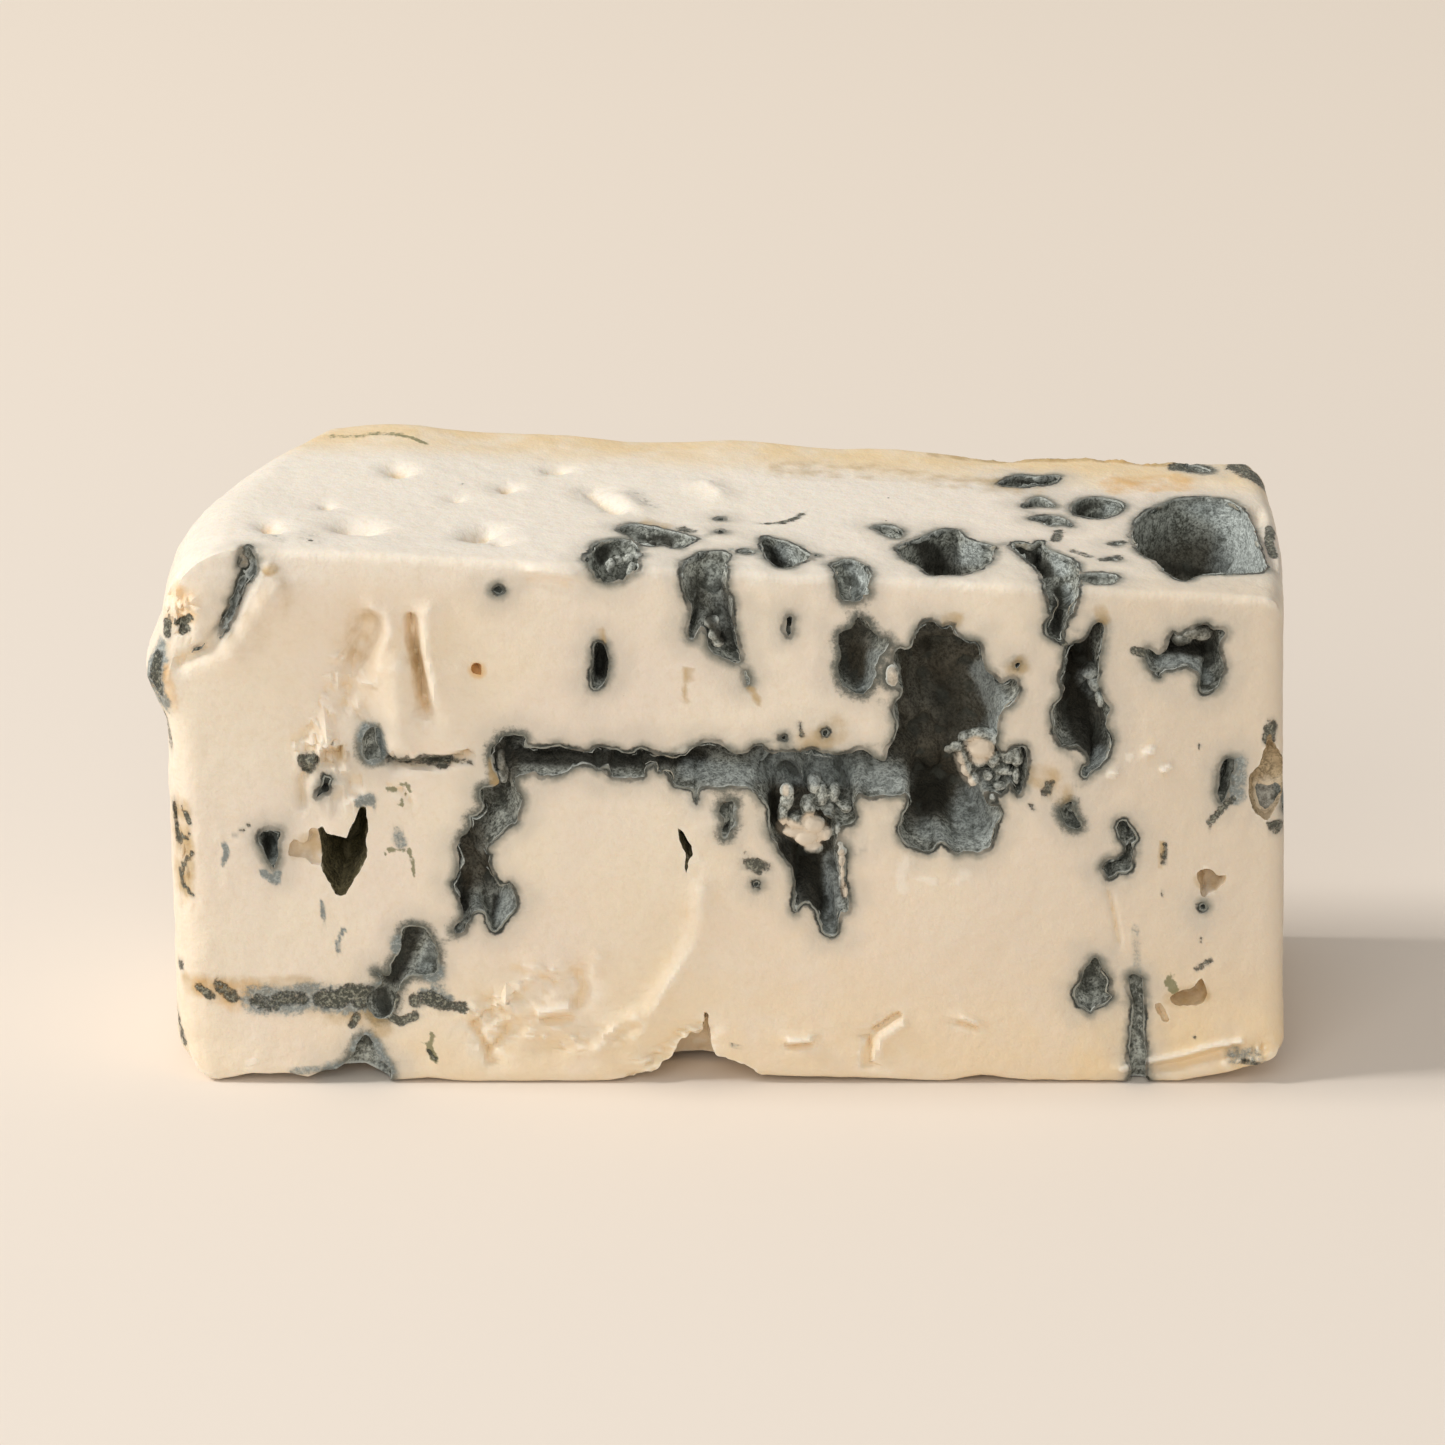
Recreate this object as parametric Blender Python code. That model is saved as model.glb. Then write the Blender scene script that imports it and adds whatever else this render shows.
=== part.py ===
"""A piece of blue cheese: a cut block with a rind end, and hollows where the mould grew.

The front, right and back are cut faces, the top is the flat skin of the wheel, and the left end is its
rounded rind. The block stands on its flat patches at z = 0, centred on X and Y, with +X to the right
and the shown face towards -Y. Sizes below are in millimetres; the meshes are in metres.
"""

import math
import random

import bmesh
import bpy
from mathutils import Vector, geometry, noise

MM = 0.001

# Block
LENGTH = 120.8
DEPTH = 43.0
HEIGHT = 58.0
TOP_SLOPE = -0.05       # the top falls this much per mm towards the right
TOP_RISE = 0.5          # and rises this much from front to back
CORNER_DROP = 0.06      # but sinks again at the back left corner, per mm beyond x = -35
FOOT_BULGE = 0.9        # the front face swells forward at its foot
RIND_RADIUS = 9.0       # shoulder between the top and the rind end
RIND_BULGE_AT = -14.0   # the rind end reaches furthest left at this y
RIND_CURVE = 0.0085     # its plan curve, per mm squared
RIND_SWELL = 2.1        # a soft bulge of the rind, three quarters of the way up
RIGHT_LEAN = 1.1        # the right face stands out this much more at its foot
UNEVEN = 0.28           # how far the faces wander from flat

# The rounded edges, in the order they are rounded: the two axes across the edge, on which side of the
# middle it lies along each, and its radius
X, Y, Z = 0, 1, 2
EDGES = [
    (X, Z, -1, 1, RIND_RADIUS), (X, Z, -1, -1, 3.6), (X, Z, 1, 1, 2.2), (X, Z, 1, -1, 2.4),
    (X, Y, -1, -1, 3.4), (X, Y, -1, 1, 7.0), (X, Y, 1, -1, 1.8), (X, Y, 1, 1, 2.8),
    (Y, Z, -1, 1, 0.9), (Y, Z, 1, 1, 1.3), (Y, Z, -1, -1, 0.7), (Y, Z, 1, -1, 1.8),
]
WIDE_EDGE = [0.0, 0.13, 0.4, 0.7, 1.0]   # shares of the radius at which points stand
TIGHT_EDGE = [0.0, 0.35, 1.0]
FACE_STEP = 5.2         # spacing of the points on the plain faces
EDGE_STEP = 2.4         # how near an edge the last of them lies

# Hollows
RIM_STEP = 1.7          # spacing of the points round a large hollow
FINEST_STEP = 0.8       # and round a small one
PAST_FACE = 2.5         # how far a cutter stands out of its face

# Where the underside arches up off the board at the front, as (x, lift)
UNDERSIDE = [(-62, 2.5), (-54, 0), (-50, 0.9), (-44, 1.0), (-37, 0), (-12, 0), (-8, 0.9), (-3, 2.0),
             (4, 1.2), (12, 0.5), (24, 0), (29, 0.8), (34, 0), (50, 0), (56, 1.2), (62, 3.2)]
RESTING_SPOT = (20.0, 4.0, 9.0)  # x, y and radius of the patch that is kept flat


def clear_scene():
    for obj in list(bpy.data.objects):
        bpy.data.objects.remove(obj)


def new_collection(name):
    made = bpy.data.collections.new(name)
    bpy.context.scene.collection.children.link(made)
    return made


def new_object(name, bm, collection):
    mesh = bpy.data.meshes.new(name)
    bm.to_mesh(mesh)
    bm.free()
    obj = bpy.data.objects.new(name, mesh)
    collection.objects.link(obj)
    return obj


def material(name, colour, roughness):
    made = bpy.data.materials.new(name)
    made.use_nodes = True
    shader = made.node_tree.nodes["Principled BSDF"]
    shader.inputs["Base Color"].default_value = (*colour, 1.0)
    shader.inputs["Roughness"].default_value = roughness
    shader.inputs["Metallic"].default_value = 0.0
    return made


def between(value, table):
    """The value read off a short table of (place, height) by straight lines."""
    for (x0, y0), (x1, y1) in zip(table, table[1:]):
        if x0 <= value <= x1:
            return y0 + (y1 - y0) * (value - x0) / (x1 - x0)
    return table[0][1] if value < table[0][0] else table[-1][1]


def steps(half, low_radius, high_radius, spacing):
    """Places from -half to half, closer together inside the two edge radii."""
    low, high = [WIDE_EDGE if radius > 5 else TIGHT_EDGE for radius in (low_radius, high_radius)]
    start = [-half + low_radius * share for share in low]
    end = [half - high_radius * share for share in reversed(high)]
    count = max(1, round((end[0] - start[-1]) / spacing))
    middle = [start[-1] + (end[0] - start[-1]) * k / count for k in range(1, count)]
    return start + middle + end


def rounded(point, half, first, second, sign_a, sign_b, radius):
    """Pulls a point near the edge where two sides meet onto that edge's radius."""
    a = sign_a * point[first] - (half[first] - radius)
    b = sign_b * point[second] - (half[second] - radius)
    if a <= 0 or b <= 0:
        return
    share = max(a, b) / math.hypot(a, b)
    point[first] = sign_a * (half[first] - radius + a * share)
    point[second] = sign_b * (half[second] - radius + b * share)


def block():
    """The whole piece before anything is cut out of it."""
    half = (LENGTH / 2, DEPTH / 2, HEIGHT / 2)
    places = (
        steps(half[X], RIND_RADIUS, EDGE_STEP, FACE_STEP),
        steps(half[Y], EDGE_STEP, EDGE_STEP, FACE_STEP),
        steps(half[Z], EDGE_STEP, RIND_RADIUS, FACE_STEP),
    )
    bm = bmesh.new()
    bmesh.ops.create_cube(bm, size=2.0)
    for axis in range(3):
        along = [e for e in bm.edges
                 if abs(e.verts[0].co[axis] - e.verts[1].co[axis]) > 1e-6]
        bmesh.ops.subdivide_edges(bm, edges=along, cuts=len(places[axis]) - 2, use_grid_fill=True)
    for vertex in bm.verts:
        spot = [places[axis][round((vertex.co[axis] + 1) / 2 * (len(places[axis]) - 1))] for axis in range(3)]
        for edge in EDGES:
            rounded(spot, half, *edge)
        vertex.co = shaped(spot)
    bmesh.ops.recalc_face_normals(bm, faces=bm.faces)
    return bm


def shaped(spot):
    """Moves a point of the plain block to its place on the cheese."""
    x, y, z = spot
    z += HEIGHT / 2
    backwards = (y + DEPTH / 2) / DEPTH
    top = HEIGHT + TOP_SLOPE * x + (TOP_RISE - max(0.0, -35.0 - x) * CORNER_DROP) * backwards
    z *= top / HEIGHT
    rind = min(1.0, max(0.0, (-x - 30.0) / 25.0))
    x += rind * RIND_CURVE * (y - RIND_BULGE_AT) ** 2
    x += rind * (2.2 - 0.9 * z / HEIGHT - RIND_SWELL * math.exp(-((z - 45.6) / 3.4) ** 2))
    right = min(1.0, max(0.0, (x - 40.0) / 20.0))
    x += right * (0.6 * math.cos(y / 14.0) - 0.4 + RIGHT_LEAN * (1.0 - z / HEIGHT))
    place = Vector((x, y, z))
    wander = noise.noise_vector(place * 0.055) * UNEVEN
    wander += noise.noise_vector(place * 0.17) * UNEVEN * 0.4
    rise = between(x, UNDERSIDE) * (0.35 + 0.65 * max(0.0, min(1.0, (6.0 - y) / 20.0)))
    rise += max(0.0, noise.noise(place * 0.09)) * 0.9 * max(0.0, min(1.0, (y + 14.0) / 8.0))
    away = math.hypot(x - RESTING_SPOT[0], y - RESTING_SPOT[1]) / RESTING_SPOT[2]
    rise *= min(1.0, max(0.0, away - 1.0))
    low = max(0.0, 1.0 - z / 9.0)
    back_wave = 0.25 * math.sin(x / 7.0) + 0.2 * math.sin(x / 3.1 + 1.0)
    near_back = max(0.0, min(1.0, (y - 14.0) / 7.0)) * max(0.0, min(1.0, (z - 45.0) / 8.0))
    place += wander * (1.0 - low)
    place.y -= FOOT_BULGE * low * (1.0 - backwards) * min(1.0, max(0.0, (x + 62.0) / 12.0))
    place.z += rise * low + near_back * back_wave
    place.z = max(0.0, place.z)
    return place * MM


FACES = {
    "front": (Vector((0, -21.5, 0)), Vector((1, 0, 0)), Vector((0, 0, 1))),
    "top": (Vector((0, 0, 58)), Vector((1, 0, TOP_SLOPE)), Vector((0, 1, 0))),
    "back": (Vector((0, 21.5, 0)), Vector((-1, 0, 0)), Vector((0, 0, 1))),
    "right": (Vector((60.3, 0, 0)), Vector((0, 1, 0)), Vector((0, 0, 1))),
    "left": (Vector((-57.0, 0, 0)), Vector((-0.2, -1, 0)), Vector((0, 0, 1))),
    "bottom": (Vector((0, 0, 0)), Vector((1, 0, 0)), Vector((0, -1, 0))),
}

# Hollows in the shown faces: face, depth, width of the curved wall, and the outline (x, z or x, y)
SHOWN = {
    "big_hollow": ("front", 9.0, 2.6, [
        (18.9, 42.4), (19.2, 44.6), (18.9, 48.8), (21.0, 50.2), (22.6, 52.2), (25.2, 51.8), (28.0, 49.9),
        (28.8, 46.6), (30.4, 45.3), (31.9, 45.7), (31.8, 43.4), (30.1, 42.0), (29.8, 39.0), (30.6, 37.4),
        (32.9, 37.6), (32.4, 33.6), (30.4, 32.6), (30.2, 30.4), (29.4, 27.2), (26.6, 26.1), (24.0, 27.4),
        (21.8, 26.4), (19.5, 28.3), (20.5, 31.8), (19.4, 34.2), (17.6, 36.3), (19.5, 38.4)]),
    "dark_pocket": ("front", 4.5, 1.8, [
        (13.3, 50.8), (15.3, 52.7), (17.8, 50.3), (17.2, 46.4), (15.4, 44.0), (13.4, 45.4), (13.1, 48.4)]),
    "channel": ("front", 5.5, 1.7, [
        (-23.8, 37.4), (-22.6, 39.2), (-19.8, 38.1), (-14.0, 37.8), (-8.0, 37.5), (-3.6, 37.1), (-0.8, 38.4),
        (2.0, 37.3), (5.0, 38.2), (11.0, 37.5), (15.6, 37.7), (18.4, 36.4), (20.0, 33.6), (15.2, 32.8),
        (14.4, 29.6), (12.2, 30.0), (9.2, 31.4), (7.0, 34.4), (4.4, 33.2), (0.0, 33.5), (-4.4, 33.6),
        (-6.6, 36.0), (-8.0, 34.6), (-11.0, 34.7), (-14.4, 36.0), (-17.6, 34.9), (-21.8, 34.4),
        (-23.4, 34.6)]),
    "left_branch": ("front", 4.2, 1.6, [
        (-22.2, 35.8), (-20.9, 33.0), (-21.2, 30.0), (-23.6, 27.6), (-24.2, 25.2), (-22.4, 22.6),
        (-21.4, 20.8), (-22.4, 18.5), (-23.7, 17.1), (-25.1, 19.2), (-26.2, 18.5), (-27.8, 17.0),
        (-27.4, 20.4), (-28.1, 22.5), (-27.3, 26.0), (-26.2, 29.4), (-24.8, 32.6), (-23.2, 34.4)]),
    "centre_cavity": ("front", 6.5, 1.8, [
        (4.6, 33.2), (5.8, 30.2), (5.8, 28.2), (8.2, 24.2), (8.3, 20.0), (9.6, 20.4), (11.0, 18.4),
        (12.2, 16.6), (13.2, 18.6), (14.2, 20.6), (13.9, 23.4), (13.8, 26.6), (12.6, 29.6), (9.4, 31.8),
        (9.6, 34.8), (7.2, 34.8)]),
    "clean_split": ("front", 7.0, 1.2, [
        (-45.7, 26.6), (-43.8, 27.4), (-42.6, 28.7), (-39.6, 27.9), (-38.3, 30.8), (-37.4, 31.3),
        (-37.5, 26.4), (-38.8, 22.9), (-40.1, 21.2), (-42.0, 23.4), (-43.8, 25.5)]),
    "teardrop": ("front", 4.0, 1.0, [
        (-48.6, 27.6), (-47.4, 28.2), (-46.8, 26.8), (-47.4, 24.4), (-48.4, 25.8)]),
    "small_gap": ("front", 3.0, 0.8, [
        (-41.9, 34.7), (-41.0, 34.4), (-41.3, 33.1), (-42.7, 32.3), (-42.1, 33.6)]),
    "grey_recess": ("front", 1.2, 1.0, [
        (-37.8, 37.7), (-37.0, 40.1), (-36.0, 40.0), (-35.6, 37.2), (-37.2, 36.8)]),
    "long_slit": ("front", 4.0, 0.9, [
        (-12.6, 50.0), (-11.6, 48.6), (-11.6, 46.2), (-12.7, 44.7), (-13.2, 46.8), (-13.1, 49.2)]),
    "curled_edge_front": ("front", 3.6, 1.4, [
        (-14.2, 61.0), (-13.4, 58.7), (-12.3, 57.9), (-10.6, 58.8), (-8.6, 57.5), (-8.7, 61.0)]),
    "curled_edge_top": ("top", 3.2, 1.8, [
        (-14.2, -23.0), (-13.6, -15.0), (-10.2, -12.9), (-8.5, -15.5), (-8.7, -23.0)]),
    "curled_top": ("top", 3.0, 1.5, [
        (-10.3, -10.4), (-9.2, -7.8), (-5.2, -9.0), (-2.4, -11.0), (-4.2, -14.6), (-8.4, -13.8)]),
    "edge_pocket_front": ("front", 4.6, 1.8, [
        (-3.5, 61.0), (-3.3, 57.4), (-2.6, 53.0), (-3.0, 50.6), (-1.4, 51.4), (-0.6, 49.0), (2.5, 47.7),
        (1.7, 52.6), (1.0, 57.4), (1.0, 61.0)]),
    "edge_pocket_top": ("top", 3.6, 1.6, [
        (-3.5, -23.0), (-2.8, -17.4), (-0.6, -15.3), (1.2, -16.4), (0.9, -23.0)]),
    "round_slit": ("front", 2.2, 0.6, [(7.4, 52.9), (8.2, 53.0), (7.9, 50.8), (7.3, 50.9)]),
    "brown_pit": ("front", 1.8, 0.8, [(-26.1, 47.0), (-25.4, 47.8), (-24.8, 46.6), (-25.4, 46.2)]),
    "wedge_top": ("top", 5.0, 1.9, [
        (4.9, -10.4), (8.4, -12.2), (9.8, -15.4), (7.6, -19.2), (5.8, -18.2)]),
    "edge_channel_front": ("front", 3.4, 1.2, [
        (12.6, 60.5), (14.0, 57.6), (14.0, 55.0), (15.2, 54.8), (16.3, 55.4), (15.8, 57.2), (16.2, 60.5)]),
    "edge_channel_top": ("top", 2.6, 1.3, [
        (12.4, -18.6), (14.2, -15.6), (16.2, -18.4), (16.0, -23.0), (13.6, -23.0)]),
    "top_hollow": ("top", 6.0, 2.2, [
        (19.2, -11.4), (21.4, -8.2), (24.6, -4.8), (26.6, -6.8), (29.6, -9.8), (28.6, -16.0),
        (24.6, -19.4), (22.2, -18.6)]),
    "forked_top": ("top", 3.4, 1.5, [
        (31.8, -8.6), (34.6, -7.2), (38.2, -13.2), (38.2, -23.0), (35.4, -23.0), (34.0, -15.6)]),
    "forked_front": ("front", 3.4, 1.1, [
        (35.2, 59.5), (36.0, 54.6), (35.1, 52.4), (35.4, 50.4), (36.8, 50.6), (38.1, 55.0), (38.0, 59.5)]),
    "edge_slot": ("top", 2.8, 1.0, [(38.6, -17.2), (41.6, -16.0), (42.4, -18.4), (39.9, -19.5)]),
    "right_pocket": ("front", 6.5, 1.9, [
        (40.4, 52.0), (38.9, 50.2), (37.2, 49.0), (36.8, 44.8), (35.9, 41.6), (36.4, 38.6), (39.2, 37.6),
        (38.8, 35.1), (41.2, 36.2), (41.9, 39.4), (41.5, 42.2), (40.6, 46.4), (41.0, 50.8)]),
    "hammer_hollow": ("front", 4.6, 1.6, [
        (45.4, 49.2), (46.8, 46.2), (50.4, 47.3), (51.3, 44.6), (52.9, 44.6), (53.7, 48.4), (53.8, 51.3),
        (51.8, 51.9), (49.0, 50.8), (47.2, 49.0)]),
    "right_slit": ("front", 3.6, 0.9, [(54.3, 37.0), (55.1, 36.4), (53.9, 31.8), (53.4, 34.4)]),
    "edge_notch": ("front", 2.0, 1.2, [
        (57.0, 34.6), (58.8, 37.8), (62.5, 38.4), (62.5, 31.0), (58.4, 31.2), (57.0, 32.8)]),
    "hook": ("front", 3.0, 0.9, [
        (43.0, 29.6), (44.2, 29.6), (44.7, 27.4), (44.5, 24.4), (42.0, 23.3), (41.3, 24.8), (43.4, 25.8)]),
    "lower_teardrop": ("front", 3.2, 1.7, [
        (40.6, 13.9), (41.6, 12.2), (42.3, 9.6), (40.3, 7.9), (38.6, 9.4), (39.5, 12.2)]),
    "striped_vein": ("front", 0.9, 0.7, [(44.6, 10.2), (46.0, 10.0), (46.6, 1.8), (44.8, 1.8)]),
    "clean_pit": ("front", 2.0, 1.0, [(52.6, 24.0), (54.7, 23.3), (53.6, 21.6), (52.3, 21.5)]),
    "lower_pit": ("front", 2.0, 1.2, [(52.4, 10.9), (53.3, 9.3), (52.0, 8.3), (50.9, 9.2)]),
    "leaning_vein": ("front", 1.8, 1.2, [
        (-32.6, 17.6), (-30.6, 16.2), (-30.2, 12.6), (-32.8, 12.0), (-35.4, 7.2), (-37.2, 8.4),
        (-35.2, 12.6), (-33.8, 15.6)]),
    "foot_vein": ("front", 1.6, 1.2, [
        (-38.0, 4.9), (-36.2, 1.6), (-37.0, -2.0), (-40.2, -2.0), (-40.0, 2.2)]),
    "crooked_slit": ("front", 3.0, 0.7, [(-4.0, 28.7), (-2.6, 27.0), (-2.7, 25.4), (-3.4, 26.2)]),
    "grey_nick": ("front", 1.6, 0.8, [(0.5, 31.6), (2.0, 31.8), (2.0, 29.4), (1.0, 28.2)]),
    "broken_foot": ("front", 5.0, 2.4, [
        (-9.4, -2.0), (-7.6, 1.2), (-4.4, 3.4), (-2.6, 5.5), (-1.3, 7.7), (-0.6, 5.0), (0.8, 2.9),
        (4.2, 1.3), (5.8, -2.0)]),
    "rind_crease": ("front", 2.2, 1.1, [
        (-50.6, 59.6), (-49.0, 59.0), (-49.8, 56.4), (-52.0, 51.8), (-54.8, 49.0), (-52.8, 52.4),
        (-51.0, 56.6)]),
    "large_top_hollow": ("top", 8.0, 2.8, [
        (44.8, -2.0), (46.4, 4.0), (50.0, 8.8), (54.4, 9.4), (57.0, 6.4), (58.2, -2.0), (58.6, -12.4),
        (55.0, -14.6), (51.6, -15.4), (49.6, -17.4), (47.0, -12.0), (45.2, -8.6)]),
    "back_jag": ("top", 3.4, 1.4, [(30.6, 10.8), (33.0, 14.2), (37.4, 15.0), (36.0, 11.6), (33.4, 10.4)]),
    "oval_pit": ("top", 2.8, 1.3, [(38.6, 3.2), (40.0, 8.0), (43.6, 7.8), (43.8, 4.6), (41.0, 1.6)]),
    "top_nick": ("top", 1.6, 0.8, [(33.4, 3.8), (34.8, 7.4), (36.6, 4.8)]),
    "top_gash": ("top", 1.6, 0.8, [(33.8, 0.2), (36.6, 1.8), (38.4, -1.4), (36.0, -1.6)]),
    "far_patch": ("top", 1.4, 0.9, [(51.2, 19.4), (52.4, 20.6), (54.2, 18.4), (53.0, 17.8)]),
}

# Hollows on the faces that lie away from the eye: face, half width and height of the stretch they lie
# in, how many, and the seed of their places
HIDDEN = [("back", 50.0, 25.0, 15, 11), ("right", 17.0, 23.0, 5, 4), ("left", 12.0, 18.0, 4, 29),
          ("bottom", 46.0, 15.0, 6, 8)]


def spline(points, spacing):
    """A closed smooth line through the points, read at even steps."""
    count = len(points)
    fine = []
    for k in range(count):
        ring = [Vector(points[(k + shift) % count]) for shift in (-1, 0, 1, 2)]
        parts = max(2, math.ceil((ring[2] - ring[1]).length / 0.25))
        for part in range(parts):
            t = part / parts
            fine.append(0.5 * (2 * ring[1] + (ring[2] - ring[0]) * t
                               + (2 * ring[0] - 5 * ring[1] + 4 * ring[2] - ring[3]) * t ** 2
                               + (3 * ring[1] - ring[0] - 3 * ring[2] + ring[3]) * t ** 3))
    lengths = [(fine[k] - fine[k - 1]).length for k in range(1, len(fine))] + [(fine[0] - fine[-1]).length]
    wanted = max(6, round(sum(lengths) / spacing))
    step = sum(lengths) / wanted
    line, gone = [], 0.0
    for point, length in zip(fine, lengths):
        if gone >= step * len(line) - 1e-6 and len(line) < wanted:
            line.append(point)
        gone += length
    return line


def edge_distance(point, line):
    """How far inside the outline a point lies, negative outside it."""
    nearest = 1e9
    inside = False
    for a, b in zip(line, line[1:] + line[:1]):
        side = b - a
        share = max(0.0, min(1.0, (point - a).dot(side) / side.length_squared))
        nearest = min(nearest, (a + side * share - point).length)
        if (a.y > point.y) != (b.y > point.y):
            if point.x < a.x + (point.y - a.y) / (b.y - a.y) * (b.x - a.x):
                inside = not inside
    return nearest if inside else -nearest


def inner_points(line, spacing, rng):
    """A loose grid of points inside the outline."""
    low = Vector((min(p.x for p in line), min(p.y for p in line)))
    high = Vector((max(p.x for p in line), max(p.y for p in line)))
    found = []
    rows = int((high.y - low.y) / (spacing * 0.87)) + 1
    for row in range(rows):
        columns = int((high.x - low.x) / spacing) + 2
        for column in range(columns):
            spot = low + Vector(((column + 0.5 * (row % 2)) * spacing, row * spacing * 0.87))
            spot += Vector((rng.uniform(-0.15, 0.15), rng.uniform(-0.15, 0.15))) * spacing
            if edge_distance(spot, line) > spacing * 0.55:
                found.append(spot)
    return found


def hollow_cutter(name, face, depth, wall, points, spacing, collection):
    """A closed cutter: the outline filled, its inside pushed down in a curve, its front out of the face."""
    rng = random.Random(name)
    origin, across, up = FACES[face]
    outward = -up.cross(across).normalized()
    line = spline(points, spacing)
    inner = inner_points(line, min(spacing * 0.95, 0.1 + wall * 0.7), rng)
    rim = len(line)
    edges = [(k, (k + 1) % rim) for k in range(rim)]
    flat = geometry.delaunay_2d_cdt(line + inner, edges, [], 1, 1e-4)
    bm = bmesh.new()
    deep = {}
    for spot in flat[0]:
        vertex = bm.verts.new(origin + across * spot.x + up * spot.y + outward * PAST_FACE)
        share = min(1.0, max(0.0, edge_distance(spot, line)) / wall)
        rough = 1.0 + 0.25 * noise.noise(Vector((spot.x, spot.y, depth)) * 0.5)
        deep[vertex] = 0.35 + depth * math.sqrt(1.0 - (1.0 - share) ** 2) * rough
    bm.verts.ensure_lookup_table()
    for corners in flat[2]:
        bm.faces.new([bm.verts[index] for index in corners])
    front = list(bm.verts)
    made = bmesh.ops.extrude_face_region(bm, geom=list(bm.faces), use_keep_orig=True)
    pushed = [item for item in made["geom"] if isinstance(item, bmesh.types.BMVert)]
    for vertex in pushed:
        source = min(front, key=lambda other: (other.co - vertex.co).length_squared)
        vertex.co -= outward * (PAST_FACE + deep[source])
    bmesh.ops.recalc_face_normals(bm, faces=bm.faces)
    bmesh.ops.scale(bm, vec=(MM, MM, MM), verts=bm.verts)
    cutter = new_object(name, bm, collection)
    cutter.hide_render = True
    cutter.display_type = "WIRE"


def blob_outline(rng, centre, long, short):
    """An uneven closed outline, as a mould hollow has."""
    turn = rng.uniform(0, math.pi)
    count = rng.randint(6, 9)
    points = []
    for k in range(count):
        angle = 2 * math.pi * k / count
        reach = rng.uniform(0.7, 1.2)
        a = long * reach * math.cos(angle)
        b = short * reach * math.sin(angle)
        points.append((centre[0] + a * math.cos(turn) - b * math.sin(turn),
                       centre[1] + a * math.sin(turn) + b * math.cos(turn)))
    return points


def hidden_hollows(collection):
    for face, half_width, half_height, count, seed in HIDDEN:
        rng = random.Random(seed)
        middle = 0.0 if face == "bottom" else 28.0
        taken = []
        if face == "bottom":
            taken.append((Vector((RESTING_SPOT[0], -RESTING_SPOT[1])), RESTING_SPOT[2]))
        while len(taken) < count:
            long = rng.uniform(1.4, 5.2)
            centre = Vector((rng.uniform(-half_width, half_width),
                             middle + rng.uniform(-half_height, half_height)))
            if any((centre - other).length < long * 1.3 + size * 1.3 + 1.0 for other, size in taken):
                continue
            short = long * rng.uniform(0.3, 0.7)
            taken.append((centre, long))
            outline = blob_outline(rng, centre, long, short)
            deep = min(3.6, short * 1.6) if face != "left" else 1.0
            name = f"{face}_hollow_{len(taken)}"
            hollow_cutter(name, face, deep, short * 0.8, outline, max(1.0, long * 0.42), collection)


def lump(name, centre, size, collection):
    """A rounded bit of paste that stands in a hollow, joined to its side."""
    bm = bmesh.new()
    bmesh.ops.create_icosphere(bm, subdivisions=2, radius=1.0)
    for vertex in bm.verts:
        place = Vector([c * s for c, s in zip(vertex.co, size)])
        place *= 1.0 + 0.16 * noise.noise(vertex.co * 1.7 + Vector(centre))
        place += Vector(centre)
        place.y = max(place.y, 0.2 - DEPTH / 2)
        vertex.co = place * MM
    return new_object(name, bm, collection)


# Bits of paste that stand in the hollows: centre and half sizes
LUMPS = {
    "flap": ((28.6, -20.0, 36.6), (3.0, 1.9, 2.4)),
    "hanging_lump": ((10.2, -20.6, 29.2), (2.7, 2.6, 3.1)),
    "knob": ((8.3, -19.3, 31.9), (1.2, 2.2, 2.0)),
    "pocket_tooth": ((-0.2, -19.6, 51.0), (0.9, 2.2, 1.9)),
    "channel_knob": ((-23.2, -20.2, 35.6), (0.8, 1.8, 1.6)),
    "ledge": ((39.4, -18.2, 46.0), (1.5, 2.2, 1.3)),
}


def boolean(obj, collection, operation):
    modifier = obj.modifiers.new(operation.lower(), "BOOLEAN")
    modifier.operand_type = "COLLECTION"
    modifier.collection = collection
    modifier.operation = operation
    modifier.solver = "EXACT"


def main():
    clear_scene()
    parts = new_collection("blue_cheese_piece")
    cutters = new_collection("hollow_cutters")
    lumps = new_collection("paste_lumps")
    cheese = new_object("blue_cheese", block(), parts)
    cheese.data.materials.append(material("cheese_paste", (0.76, 0.61, 0.43), 0.55))
    for name, (face, depth, wall, points) in SHOWN.items():
        size = max((Vector(point) - Vector(points[0])).length for point in points)
        hollow_cutter(name, face, depth, wall, points, min(RIM_STEP, max(FINEST_STEP, size * 0.22)), cutters)
    hidden_hollows(cutters)
    for name, (centre, size) in LUMPS.items():
        piece = lump(name, centre, size, lumps)
        piece.hide_render = True
        piece.display_type = "WIRE"
    boolean(cheese, cutters, "DIFFERENCE")
    boolean(cheese, lumps, "UNION")
    cheese.data.shade_smooth()
    cheese.data.set_sharp_from_angle(angle=math.radians(35))


main()
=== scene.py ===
import math
import random

import bmesh
import bpy
import numpy as np
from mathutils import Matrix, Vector, geometry, kdtree, noise


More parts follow.
